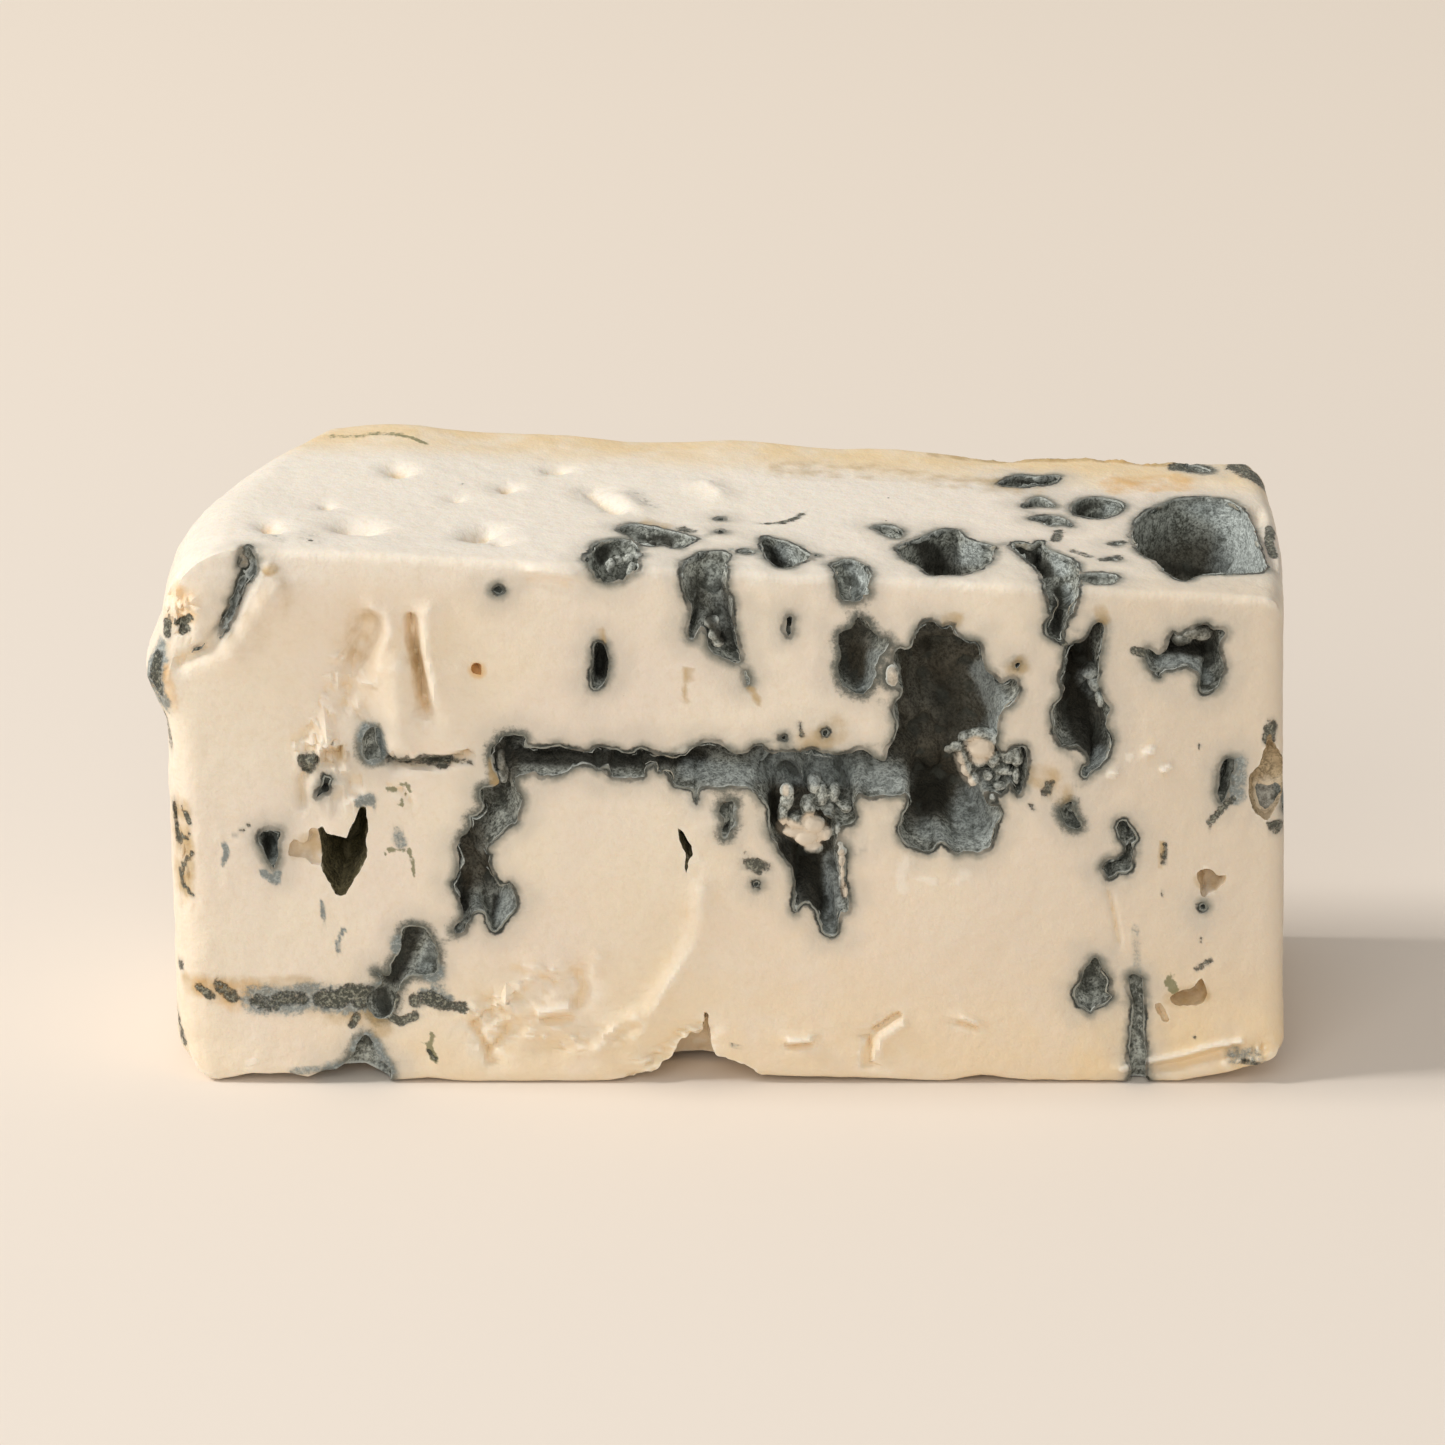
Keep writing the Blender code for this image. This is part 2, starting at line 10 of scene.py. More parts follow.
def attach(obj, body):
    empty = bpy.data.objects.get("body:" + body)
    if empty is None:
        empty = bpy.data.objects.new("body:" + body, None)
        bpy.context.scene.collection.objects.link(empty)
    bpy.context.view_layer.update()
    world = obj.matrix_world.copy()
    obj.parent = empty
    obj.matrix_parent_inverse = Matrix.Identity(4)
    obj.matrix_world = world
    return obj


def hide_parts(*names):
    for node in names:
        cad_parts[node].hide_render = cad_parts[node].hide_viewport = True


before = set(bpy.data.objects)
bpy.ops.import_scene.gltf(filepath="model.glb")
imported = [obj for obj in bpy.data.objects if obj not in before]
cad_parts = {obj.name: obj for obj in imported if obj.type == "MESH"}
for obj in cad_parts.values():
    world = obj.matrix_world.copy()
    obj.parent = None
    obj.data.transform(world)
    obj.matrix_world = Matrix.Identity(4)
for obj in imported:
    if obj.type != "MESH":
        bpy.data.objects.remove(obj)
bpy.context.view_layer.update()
bpy.ops.object.select_all(action="DESELECT")
mm = 0.001  # sizes are in millimetres, apart from the studio's, which are in metres


# Small helpers

# Linear colour from the 0 to 255 values of a colour picker
def rgb(red, green, blue):
    linear = [((c / 255 + 0.055) / 1.055) ** 2.4 if c > 10 else c / 3295 for c in (red, green, blue)]
    return (*linear, 1.0)


def only(obj):
    bpy.ops.object.select_all(action="DESELECT")
    obj.select_set(True)
    bpy.context.view_layer.objects.active = obj


# Values kept within 0 and 1: those of a whole array here, and one number below
def clamp(value):
    return np.clip(value, 0.0, 1.0)


def unit(value):
    return min(1.0, max(0.0, value))


def smooth(value):
    value = clamp(value)
    return value * value * (3.0 - 2.0 * value)


def readPoints(obj):
    points = np.empty(len(obj.data.vertices) * 3)
    obj.data.vertices.foreach_get("co", points)
    return points.reshape(-1, 3)


def writePoints(obj, points):
    obj.data.vertices.foreach_set("co", np.ascontiguousarray(points).ravel())
    obj.data.update()


def edgeEnds(obj):
    ends = np.empty(len(obj.data.edges) * 2, int)
    obj.data.edges.foreach_get("vertices", ends)
    return ends.reshape(-1, 2)


def addMesh(name, mesh):
    obj = bpy.data.objects.new(name, mesh)
    bpy.context.scene.collection.objects.link(obj)
    only(obj)
    return obj


# For finding the nearest of some points
def searchOf(points):
    search = kdtree.KDTree(len(points))
    for k, point in enumerate(points):
        search.insert(Vector(point), k)
    search.balance()
    return search


def applyModifiers(obj):
    only(obj)
    for modifier in list(obj.modifiers):
        bpy.ops.object.modifier_apply(modifier=modifier.name)


# Camera, at the photograph's angle

view = dict(elevation=20.0, distance=1000.0, aim=(0.64, -21.5, 41.0), lens=234.2)


def addCamera():
    tilt = math.radians(view["elevation"])
    back = Vector((0, -math.cos(tilt), math.sin(tilt))) * view["distance"]
    place = (Vector(view["aim"]) + back) * mm
    bpy.ops.object.camera_add(location=place, rotation=(math.pi / 2 - tilt, 0, 0))
    camera = bpy.context.object
    camera.data.lens = view["lens"]
    camera.data.clip_end = 20
    bpy.context.scene.camera = camera


# The outlines of the hollows, drawn on the face that each is cut into: (x, z) on the front, (x, y) on the
# top. The side wall reaches wall mm in from the rim, and lean shifts the deep end sideways and up, per mm of
# depth. What a hollow doesn't give is taken from plainHollow, where coarse is the size of its faces.

plainHollow = dict(face="front", lean=(0, 0), lining="greyMould", coarse=1.0)

hollows = {
    "bigHollow": dict(depth=9.0, wall=3.0, lean=(-0.1, 0.25), outline=[
        (19.3, 40.5), (18.9, 42.6), (19.7, 44.5), (19, 46.2), (18.9, 47.6), (19.1, 49), (20.2, 49.1),
        (20.8, 49.5), (21, 50.7), (21.7, 51.9), (22.8, 52.2), (23.9, 51.7), (25, 52), (25.4, 51),
        (26.5, 50.3), (27.8, 50), (28.2, 48.6), (28.6, 47), (29.6, 46), (30, 45.4), (30.6, 45.5),
        (31.4, 46), (32, 45.6), (32, 43.8), (31.2, 42.9), (30.4, 42.3), (30, 41), (29.9, 39.6),
        (29.6, 38.9), (30, 38), (30.6, 37.3), (31.4, 37.8), (32.6, 38.3), (33.2, 36.4), (32.8, 34.6),
        (32.3, 32.6), (31.8, 33.2), (31.2, 34.2), (30.6, 32.8), (30, 33), (28.4, 33.2), (28.7, 32),
        (29.2, 31.5), (30.2, 31.6), (30.4, 30.5), (29.9, 29.6), (29.8, 28.4), (29.3, 27.2), (28.6, 26.4),
        (27.9, 26.1), (26.8, 26.3), (25.7, 26), (25, 26.7), (24.4, 27.2), (23.7, 27.3), (23.2, 26.6),
        (22.4, 26.4), (21.6, 26.6), (20.8, 26.9), (20.1, 27.5), (19.6, 28.3), (19.6, 29.2), (19.9, 30.6),
        (20.6, 31.6), (20.6, 32.6), (20, 33.4), (18.9, 33.9), (17.6, 35.4), (18.2, 37.4)]),
    "darkPocket": dict(depth=4.8, wall=1.8, lean=(-0.3, 0.1), outline=[
        (13.1, 51), (14.2, 51.6), (15.2, 52.7), (15.9, 52.4), (16.4, 51.4), (17.4, 50.6), (18.3, 50.3),
        (18, 49.2), (17.3, 48), (17, 46.2), (16.2, 44.6), (15.4, 44), (14.6, 44.4), (13.4, 45.4), (13, 47),
        (13.4, 48.4), (13, 49.8)]),
    "channel": dict(depth=5.5, wall=1.5, lean=(0.0, 0.45), outline=[
        (-23.9, 37.2), (-23.4, 38.6), (-22.6, 39.3), (-21.3, 39.5), (-20.2, 39), (-20.6, 38.3), (-19.8, 38),
        (-18.3, 37.8), (-17.2, 38.2), (-16.2, 38), (-13.6, 37.6), (-13, 38), (-11.5, 37.9), (-9, 37.3),
        (-8.6, 37.9), (-8.1, 37.9), (-7.4, 37.4), (-6, 37.1), (-4, 37.1), (-3.2, 37.4), (-2.8, 38),
        (-0.9, 38.5), (0.3, 38.4), (1.2, 37.7), (2, 37.3), (3.2, 37.5), (4.2, 38.2), (4.8, 38.3),
        (5.3, 37.8), (6.2, 37.5), (6.8, 37.8), (9.8, 37.6), (10.3, 37.9), (11.2, 37.4), (12.4, 37.1),
        (14, 37.5), (15.6, 37.8), (16.4, 37.3), (17.4, 36.5), (18.2, 36.7), (19.6, 37.2), (20.4, 35.6),
        (20.2, 33.3), (18.9, 32.7), (16.2, 32.5), (15.2, 32.9), (14.5, 31.6), (14.8, 30.3), (14.2, 29.4),
        (12.7, 29.3), (12.2, 30.6), (11, 30.2), (10.4, 31), (9.2, 31.4), (9, 32.8), (8.2, 34.2),
        (4.9, 32.4), (4.1, 33.1), (2.6, 33.7), (0, 33.6), (-1.6, 33.5), (-1.9, 32.6), (-2.1, 31.7),
        (-2.4, 32), (-2.6, 33.2), (-4.2, 33.5), (-4.7, 33.9), (-4.8, 34.7), (-5.3, 35.3), (-6.2, 35.2),
        (-6.4, 36.1), (-7.2, 36.1), (-7.7, 35.4), (-7.9, 34.6), (-10.8, 34.6), (-11.2, 35), (-11.4, 35.9),
        (-12, 36), (-12.5, 35.5), (-13.6, 36), (-14.3, 36.1), (-15.3, 35.8), (-16.4, 35.2), (-17.4, 34.9),
        (-18.8, 34.9), (-19.4, 35.4), (-20, 35.1), (-21.2, 34.8), (-21.9, 34.3), (-22.8, 33.8),
        (-23.4, 35)]),
    "leftBranch": dict(depth=4.2, wall=1.5, lean=(-0.3, 0.3), outline=[
        (-22.6, 36.2), (-23.4, 35), (-23, 34), (-24.9, 33.3), (-25, 32.4), (-24.6, 31.3), (-25.3, 30.2),
        (-26.2, 30.2), (-26.1, 29.2), (-26.4, 28.4), (-27.3, 27.8), (-27.7, 26.8), (-27.4, 25.8),
        (-27.4, 24.6), (-27.8, 23.4), (-28.2, 22.4), (-27.6, 21.4), (-27.2, 18.8), (-28, 17.9),
        (-28.1, 17.1), (-27.3, 16.9), (-26.7, 17.8), (-26.1, 18.6), (-25.8, 19.3), (-25, 19.3),
        (-24.6, 18.6), (-24.2, 17.6), (-23.7, 17), (-23.1, 17.6), (-22.3, 18.6), (-21.6, 19.6),
        (-21.4, 20.7), (-21.7, 22), (-22.3, 22.5), (-23, 22.2), (-23.4, 22.9), (-24, 23.9), (-24.3, 25),
        (-24.1, 26), (-24.6, 26.4), (-23.8, 27.4), (-22.9, 28.3), (-22.2, 29.2), (-21.3, 29.6),
        (-21.1, 30.8), (-20.8, 32), (-20.7, 32.9), (-21.3, 33.2), (-21.6, 35)]),
    "centreCavity": dict(depth=6.5, wall=1.8, lean=(-0.1, 0.35), outline=[
        (4.4, 33.6), (4.9, 32.4), (5.6, 31.2), (5.8, 30.2), (5.7, 28.8), (6.3, 27.2), (7, 25.7),
        (8.1, 24.4), (8.4, 22.8), (8.4, 21.2), (8.2, 19.9), (8.5, 18.9), (8.8, 19.9), (9.5, 20.5),
        (10.4, 19.9), (11, 19), (11.3, 17.9), (11.5, 16.9), (12.2, 16.6), (13, 16.9), (13.1, 18.2),
        (13.3, 19.5), (14, 19.2), (14.3, 20.3), (14.1, 21.3), (13.8, 22.5), (13.2, 23.6), (13.1, 25.6),
        (12.7, 26.8), (12.8, 29.4), (10.6, 31.2), (9.6, 33.2), (9.4, 35.2), (7.4, 35)]),
    "cleanSplit": dict(depth=7.0, wall=1.4, lean=(0.1, 0.25), lining="shadedOliveLining", outline=[
        (-42.7, 28.2), (-42.2, 28.9), (-41.6, 28.1), (-41, 28.1), (-39.6, 27.8), (-38.8, 29.3),
        (-38.1, 31.2), (-37.5, 31.4), (-37.3, 30), (-37.4, 28.4), (-37.6, 27), (-37.4, 26), (-37.9, 24.6),
        (-38.6, 23.2), (-39.4, 22), (-40.1, 21.2), (-40.8, 21.5), (-41.6, 22.6), (-42.2, 23.8),
        (-42.4, 25.6)]),
    "splitShelf": dict(depth=0.9, wall=0.7, lining="paste", outline=[
        (-45.7, 27.3), (-44.9, 27.9), (-44.3, 27.3), (-43.7, 27.6), (-43.5, 28.8), (-42.6, 28.7),
        (-42, 27.4), (-42.1, 25), (-43, 24.8), (-43.9, 25.5), (-45.6, 25.9)]),
    "teardrop": dict(depth=3.6, wall=0.9, lean=(0, 0.2), outline=[
        (-49, 27.9), (-48.2, 28.5), (-46.6, 28.4), (-46.8, 27.4), (-46.8, 26), (-47.2, 24.7), (-47.5, 24.3),
        (-48.2, 25.6), (-48.7, 26.8)]),
    "smallGap": dict(depth=2.6, wall=0.7, lean=(0, 0.2), outline=[
        (-41.7, 34.8), (-41, 34.5), (-41.5, 34.2), (-41.2, 33.2), (-41.9, 33), (-42.8, 32.3), (-42.4, 33.3),
        (-41.9, 33.9)]),
    "greyRecess": dict(depth=1.1, wall=0.8, lean=(0, 0.2), outline=[
        (-37.8, 37.8), (-37.6, 38.9), (-36.9, 40.2), (-36.1, 40.2), (-35.8, 39.2), (-36, 38.4), (-35.4, 37),
        (-36.5, 36.8), (-37.4, 36.8)]),
    "longSlit": dict(depth=3.8, wall=0.8, lean=(0, 0.1), outline=[
        (-12.6, 50.2), (-11.9, 49.6), (-11.4, 47.7), (-11.5, 46.4), (-12.1, 45), (-12.7, 44.6),
        (-13.3, 45.2), (-13.2, 46.6), (-13.1, 48.4), (-13, 49.5)]),
    "curledFront": dict(depth=3.4, wall=1.3, outline=[
        (-13.8, 61.5), (-13.9, 60.5), (-13.7, 59.6), (-13, 59), (-12.2, 58.3), (-11.7, 58.9), (-11, 59.2),
        (-9.9, 59), (-9.2, 58.5), (-8.7, 57.9), (-8.1, 58.4), (-8.7, 59.5), (-8.9, 60.6), (-8.9, 61.5)]),
    "curledTop": dict(face="top", depth=3.2, wall=1.4, outline=[
        (-13.4, -21.2), (-13.5, -17.4), (-12.8, -14.8), (-11.6, -13.4), (-10, -12.8), (-8.6, -14.2),
        (-8.4, -17), (-8.7, -21.2)]),
    "curledBehind": dict(face="top", depth=2.8, wall=1.2, outline=[
        (-10.3, -10.6), (-9.9, -8.4), (-8.6, -7.6), (-6.8, -8.2), (-5, -9), (-2.3, -10.9), (-3, -12.8),
        (-4.2, -14.8), (-5.4, -13.8), (-6.8, -14.4), (-8.2, -14), (-9.2, -12.2)]),
    "edgePocketFront": dict(depth=4.4, wall=1.6, lean=(0, 0.1), outline=[
        (-3.4, 62), (-3, 58.6), (-3.4, 57.5), (-3.1, 56), (-2.7, 54.4), (-2.6, 52.9), (-3.1, 51.5),
        (-3.1, 50.8), (-2.7, 50.2), (-2.2, 50.8), (-1.6, 51.9), (-1.1, 51.2), (-0.9, 49.4), (-0.2, 48.6),
        (1.2, 48), (2.4, 47.6), (2.7, 47.9), (2.2, 49.6), (1.9, 51.4), (1.6, 53), (1.8, 54.8), (1.2, 55.6),
        (0.9, 57.4), (0.4, 58.4), (0.9, 59.6), (0.9, 62)]),
    "edgePocketTop": dict(face="top", depth=3.6, wall=1.4, outline=[
        (-3.4, -24), (-3.4, -19.2), (-2.5, -17.2), (-1.5, -15.6), (0.2, -15.2), (1.2, -16), (1, -18.4),
        (0.8, -24)]),
    "tailSlit": dict(depth=1.4, wall=0.5, outline=[
        (2.9, 46.9), (3.3, 46.6), (3.6, 45.4), (3.2, 45.1), (3, 45.8)]),
    "roundSlit": dict(depth=2.2, wall=0.6, outline=[
        (7.5, 52.8), (8, 53), (8.2, 52.6), (7.9, 51.6), (7.8, 50.9), (7.5, 50.7), (7.3, 51.3),
        (7.3, 52.2)]),
    "brownPit": dict(depth=1.8, wall=0.7, lining="paste", outline=[
        (-26.1, 47), (-25.5, 47.8), (-24.9, 47.4), (-24.8, 46.4), (-25.4, 46.3)]),
    "wedgeTop": dict(face="top", depth=4.6, wall=1.8, lean=(0, 0.3), outline=[
        (4.9, -10.2), (6.6, -10.9), (8.4, -12.4), (9.7, -14.6), (9.9, -16), (8.9, -17.6), (7.8, -19.2),
        (6.8, -19.6), (5.8, -18.2), (5, -14.5)]),
    "edgeChannelFront": dict(depth=3.2, wall=1.1, lean=(0, 0.1), outline=[
        (12.4, 61.5), (13, 58.6), (14, 57.6), (14.3, 56.6), (13.9, 55.6), (14.2, 54.8), (14.9, 54.6),
        (15.4, 55.1), (16.3, 55.2), (16.1, 56.2), (15.5, 56.8), (16.1, 57.6), (16, 61.5)]),
    "edgeChannelTop": dict(face="top", depth=2.4, wall=1.2, outline=[
        (12.3, -18.4), (13, -16.2), (14.2, -15.5), (15.4, -16.6), (16.3, -18.8), (16, -23.5),
        (13.4, -23.5)]),
    "topHollow": dict(face="top", depth=6.0, wall=2.2, lean=(0, 0.3), outline=[
        (19.2, -11.5), (20, -9.6), (21.2, -8), (22.8, -6.6), (24, -5), (25.8, -4.6), (26.6, -6.8),
        (28.4, -8.6), (29.8, -9.6), (29.4, -13.2), (28.2, -16.4), (26.5, -18.4), (24.5, -19.2),
        (22.6, -19.4), (21.6, -17.2), (20, -15)]),
    "topHollowSide": dict(face="top", depth=2.2, wall=1.1, outline=[
        (16.8, -4.9), (18.3, -4.2), (19.6, -5), (19.9, -7.4), (18.9, -8.2), (17.6, -6.6)]),
    "forkedTop": dict(face="top", depth=3.2, wall=1.4, lean=(0, 0.2), outline=[
        (31.6, -9), (32.4, -7.4), (33.8, -8.2), (34.9, -6.4), (35.3, -9.2), (36.8, -11), (38.3, -13.4),
        (38.5, -16.5), (38, -23.5), (35.4, -23.5), (34.4, -17.5), (33.4, -14), (32.4, -11.4)]),
    "forkedFront": dict(depth=3.2, wall=1.0, lean=(0, 0.1), outline=[
        (35, 60.5), (35, 57), (35.6, 55.5), (36.1, 54.4), (35.5, 53.2), (35.1, 52.2), (35, 51.1),
        (35.6, 50.5), (36.6, 50.2), (36.8, 51.2), (37.1, 52.6), (37.7, 54), (38.2, 54.9), (37.7, 55.7),
        (38, 57), (38, 60.5)]),
    "edgeSlot": dict(face="top", depth=2.6, wall=0.9, outline=[
        (38.6, -17.2), (39.6, -16.2), (41.6, -16), (42.7, -16.6), (42.4, -18.6), (41.2, -19.6),
        (39.9, -19.4), (39, -18.4)]),
    "rightPocket": dict(depth=6.5, wall=1.7, lean=(0, 0.3), outline=[
        (40.4, 52.2), (39.8, 51.4), (39, 50.3), (38, 49.7), (37.3, 49.3), (37.1, 48.2), (36.9, 46.8),
        (36.6, 45.8), (36.9, 44.6), (36.4, 43.5), (35.9, 42.6), (35.9, 40), (36.2, 38.9), (36.8, 38.3),
        (37.7, 38.2), (38.6, 38.2), (39.3, 37.5), (39.7, 36.8), (39.6, 36), (38.9, 35.6), (39.2, 34.7),
        (40.1, 35.4), (40.9, 36), (41.6, 36.8), (41.9, 38), (41.9, 39.6), (41.4, 40.6), (41.6, 41.6),
        (41.8, 42.4), (41.2, 43.6), (40.7, 45), (40.6, 46.4), (40.5, 48), (40.8, 49.6), (41, 51),
        (41.1, 51.8)]),
    "hammerHollow": dict(depth=4.6, wall=1.5, lean=(0, 0.3), outline=[
        (45.5, 48.2), (46.4, 46.9), (46.9, 46), (47.2, 46.8), (48.4, 47), (49.4, 47.4), (50.2, 47.3),
        (51, 46.7), (51.4, 46), (51.3, 44.8), (51.7, 44.3), (52.8, 44.6), (53.4, 45.4), (53.6, 47),
        (53.6, 48.6), (53.5, 49.8), (54, 51), (53.7, 51.5), (52.6, 51.4), (51.9, 52), (51, 51.6), (50, 51),
        (49, 50.7), (48.5, 51.2), (48.1, 50.5), (47.6, 49.2), (47, 48.4), (46.5, 48.9), (45.8, 49.4)]),
    "rightSlit": dict(depth=3.4, wall=0.8, lean=(0, 0.2), outline=[
        (54.2, 37), (55, 36.9), (55.2, 36), (55, 34.6), (54.5, 33), (53.9, 31.8), (53.5, 33), (53.5, 34.6),
        (53.7, 36)]),
    "edgeNotch": dict(depth=2.0, wall=1.0, lining="brownLining", outline=[
        (58.9, 39.8), (58.4, 38.2), (58, 36.6), (56.9, 34.9), (56.9, 32), (58.2, 30.3), (59, 29.9),
        (59.4, 31), (61, 33), (61, 36), (59.4, 38.4)]),
    "hook": dict(depth=2.8, wall=0.8, lean=(0, 0.2), outline=[
        (43, 29.8), (43.6, 30), (44.1, 29.4), (44.4, 28.6), (44.8, 27.6), (44.3, 27.2), (44.5, 26),
        (44.5, 25), (44.3, 24.2), (43.8, 23.8), (43, 24), (42.3, 23.4), (41.9, 23.2), (41.5, 24),
        (41.2, 24.8), (42, 25.3), (43, 25.6), (43.6, 26.2), (43.7, 27.4), (43.2, 27.6), (42.8, 28.8)]),
    "smallHook": dict(depth=1.6, wall=0.7, outline=[
        (36.6, 30.6), (37, 31.6), (37.9, 32), (38, 30.9), (38.8, 29.8), (38.7, 29), (37.8, 29.1),
        (37, 30)]),
    "lowerTeardrop": dict(depth=3.0, wall=1.6, lean=(0, 0.3), outline=[
        (40.5, 14), (41.2, 13.6), (41.5, 12.6), (42.2, 11.4), (42, 10.4), (42.6, 9.6), (41.9, 8.8),
        (41, 8.4), (40.2, 7.8), (39.5, 8.3), (39, 8.5), (38.5, 9.5), (38.6, 10.6), (39.2, 11.4),
        (39.6, 12.6), (40, 13.5)]),
    "stripedVein": dict(depth=0.5, wall=0.6, outline=[
        (44.3, 11.6), (45, 12.2), (45.7, 11.4), (45.9, 8), (46.1, 4), (46.2, 1), (46.8, -1), (44, -1),
        (44.6, 1), (44.4, 4), (44.8, 8)]),
    "cleanPit": dict(depth=2.2, wall=0.8, lean=(0, 0.2), lining="paste", outline=[
        (51.5, 23.7), (52.5, 24.4), (53.6, 23.4), (54.4, 23.5), (54.3, 22.7), (52.9, 21.5), (52, 21),
        (51.8, 22.2)]),
    "lowerPit": dict(depth=2.2, wall=1.0, lean=(0, 0.2), lining="paste", outline=[
        (52.1, 11.8), (52.9, 10), (52.3, 8.7), (51, 8.5), (49, 8.8), (48.9, 9.9), (50.8, 10.5)]),
    "lowerPitSide": dict(depth=0.8, wall=0.6, lining="paste", outline=[
        (47.1, 8.6), (47.7, 8.9), (48.8, 6.9), (48, 6.8)]),
    "leaningVein": dict(depth=1.6, wall=1.1, lean=(0, 0.2), outline=[
        (-33.5, 17.4), (-32.3, 17.8), (-30.9, 16.9), (-30.2, 15.4), (-29.9, 13.2), (-30.2, 12.2),
        (-31.6, 12), (-32.8, 12.2), (-33.8, 11.2), (-34.6, 9.4), (-35, 7.6), (-36.4, 6.9), (-37.3, 8),
        (-37.6, 9.6), (-36, 11), (-36.6, 12.6), (-35.4, 12), (-34.8, 13.4), (-34, 15.4)]),
    "footVein": dict(depth=1.2, wall=1.0, outline=[
        (-37.8, 5.5), (-37, 4.5), (-36.4, 2.8), (-35.5, 1.8), (-35.1, 0.4), (-36, -1), (-42.4, -1),
        (-42.6, 0.8), (-40.8, 1.7), (-39.4, 3), (-38.5, 4.6)]),
    "crookedSlit": dict(depth=3.0, wall=0.5, lean=(0, 0.1), lining="shadedOliveLining", outline=[
        (-4.2, 29), (-3.6, 28.4), (-3.2, 27.6), (-2.7, 27), (-2.4, 26), (-2.9, 25.3), (-3.1, 24.2),
        (-3.3, 23.6), (-3.3, 25.2), (-3.2, 26), (-3.9, 27.4)]),
    "greyNick": dict(depth=1.4, wall=0.7, outline=[
        (0.5, 31.8), (2.1, 32), (1.9, 31), (2, 29.6), (1.4, 28.6), (0.9, 27.8), (0.6, 28.8), (0.9, 30),
        (0.4, 30.8)]),
    "brokenFoot": dict(depth=5.0, wall=2.2, lean=(0, 0.2), lining="paste", outline=[
        (-9.5, -2), (-8.5, 0.8), (-6.5, 1.6), (-4.8, 2.8), (-4, 4.4), (-2.6, 5.6), (-1.6, 5.4), (-1.4, 7.9),
        (-0.9, 7.7), (-0.6, 6), (-0.6, 4.2), (0.2, 3.1), (2.2, 2.4), (4.2, 1.3), (5.5, -2)]),
    "rindCrease": dict(depth=1.1, wall=0.7, lean=(0.1, 0.1), outline=[
        (-50.9, 58.6), (-50, 60.4), (-49.4, 60.6), (-48.5, 59.2), (-49, 57.4), (-49.8, 56.2), (-50.2, 55),
        (-51, 53.4), (-51.6, 52), (-52.2, 50.8), (-53.2, 50), (-54.4, 49), (-56, 48.6), (-54.6, 49.6),
        (-53.2, 50.8), (-52.6, 52.4), (-51.8, 54), (-51.2, 55.6), (-50.6, 57.2)]),
    "largeTopHollow": dict(face="top", depth=8.0, wall=2.8, lean=(0, 0.1), outline=[
        (44.8, -2), (45.4, 1.4), (46.4, 4), (48, 6.8), (50, 8.8), (52.2, 9.6), (54.4, 9.4), (56, 8.4),
        (57, 6.4), (57.9, 2.4), (58.2, -2), (58.4, -7), (58.6, -12.4), (57.2, -14), (55, -14.6),
        (51.6, -15.4), (49.6, -17.4), (48, -15), (47, -12), (45.2, -8.6), (44.8, -5)]),
    "backJag": dict(face="top", depth=3.2, wall=1.3, lean=(0, 0.2), outline=[
        (30.6, 10.8), (31.6, 12.8), (33, 14.2), (35.4, 14.2), (37.4, 15), (37, 13), (36, 11.6),
        (34.4, 11.2), (33.4, 10.4), (32, 10.4)]),
    "ovalPit": dict(face="top", depth=2.6, wall=1.2, lean=(0, 0.2), outline=[
        (38.6, 3.2), (38.8, 6), (40, 8), (41.8, 8.6), (43.6, 7.8), (44.2, 6), (43.8, 4.6), (42.6, 2.6),
        (41, 1.6), (39.6, 2)]),
    "topNick": dict(face="top", depth=1.4, wall=0.8, outline=[
        (33.4, 3.8), (34, 6), (34.8, 7.4), (36, 6.6), (36.6, 4.8), (35, 4.6)]),
    "topGash": dict(face="top", depth=1.5, wall=0.8, outline=[
        (33.8, 0.2), (35, 1.4), (36.6, 1.8), (37.8, 0.8), (38.4, -1.4), (37.2, -1), (36, -1.6),
        (35, -0.4)]),
    "farPatch": dict(face="top", depth=0.7, wall=0.8, outline=[
        (51.2, 19.4), (52.4, 20.6), (54.2, 18.4), (53, 17.8)]),
}

# Block of paste. Its six faces wander a little, the left end is the rounded rind, and the underside is raised
# in places: underside gives that rise in mm at each x, and restingSpot the x, y and radius that stay flat.

block = dict(
    length=120.8, depth=43.0, height=58.0,
    topSlope=-0.05, topRise=0.5, cornerDrop=0.06, footBulge=0.9,
    rindBulgeAt=-14.0, rindCurve=0.0085, rindSwell=2.1, rindSwellAt=45.6, rindSwellReach=3.4, rindInset=2.2,
    rindLean=0.9, rightBow=0.6, rightInset=0.4, rightLean=1.1, uneven=0.28, backWaves=(0.25, 0.2),
    cutsX=(3, 26), cutsY=(3, 9), cutsZ=(3, 12), crowding=0.5,
    fineNear=1.0, fineCuts=2, markSpacing=0.8,
    underside=[(-62, 2.5), (-54, 0), (-50, 0.9), (-46, 0.9), (-44, 0.5), (-42, 1.3), (-38, 1.4), (-35.4, 0.1),
               (-30.5, 0.4), (-28, 0), (-12, 0), (-8, 0.6), (-4, 1), (3, 0.9), (5, 0.7), (10, 0.5), (15, 0.4),
               (20, 0.2), (25, 0), (28, 0.7), (30, 0.6), (33, 0.1), (50, 0), (55, 1), (62, 3.2)],
    restingSpot=(20.0, 4.0, 9.0),
)

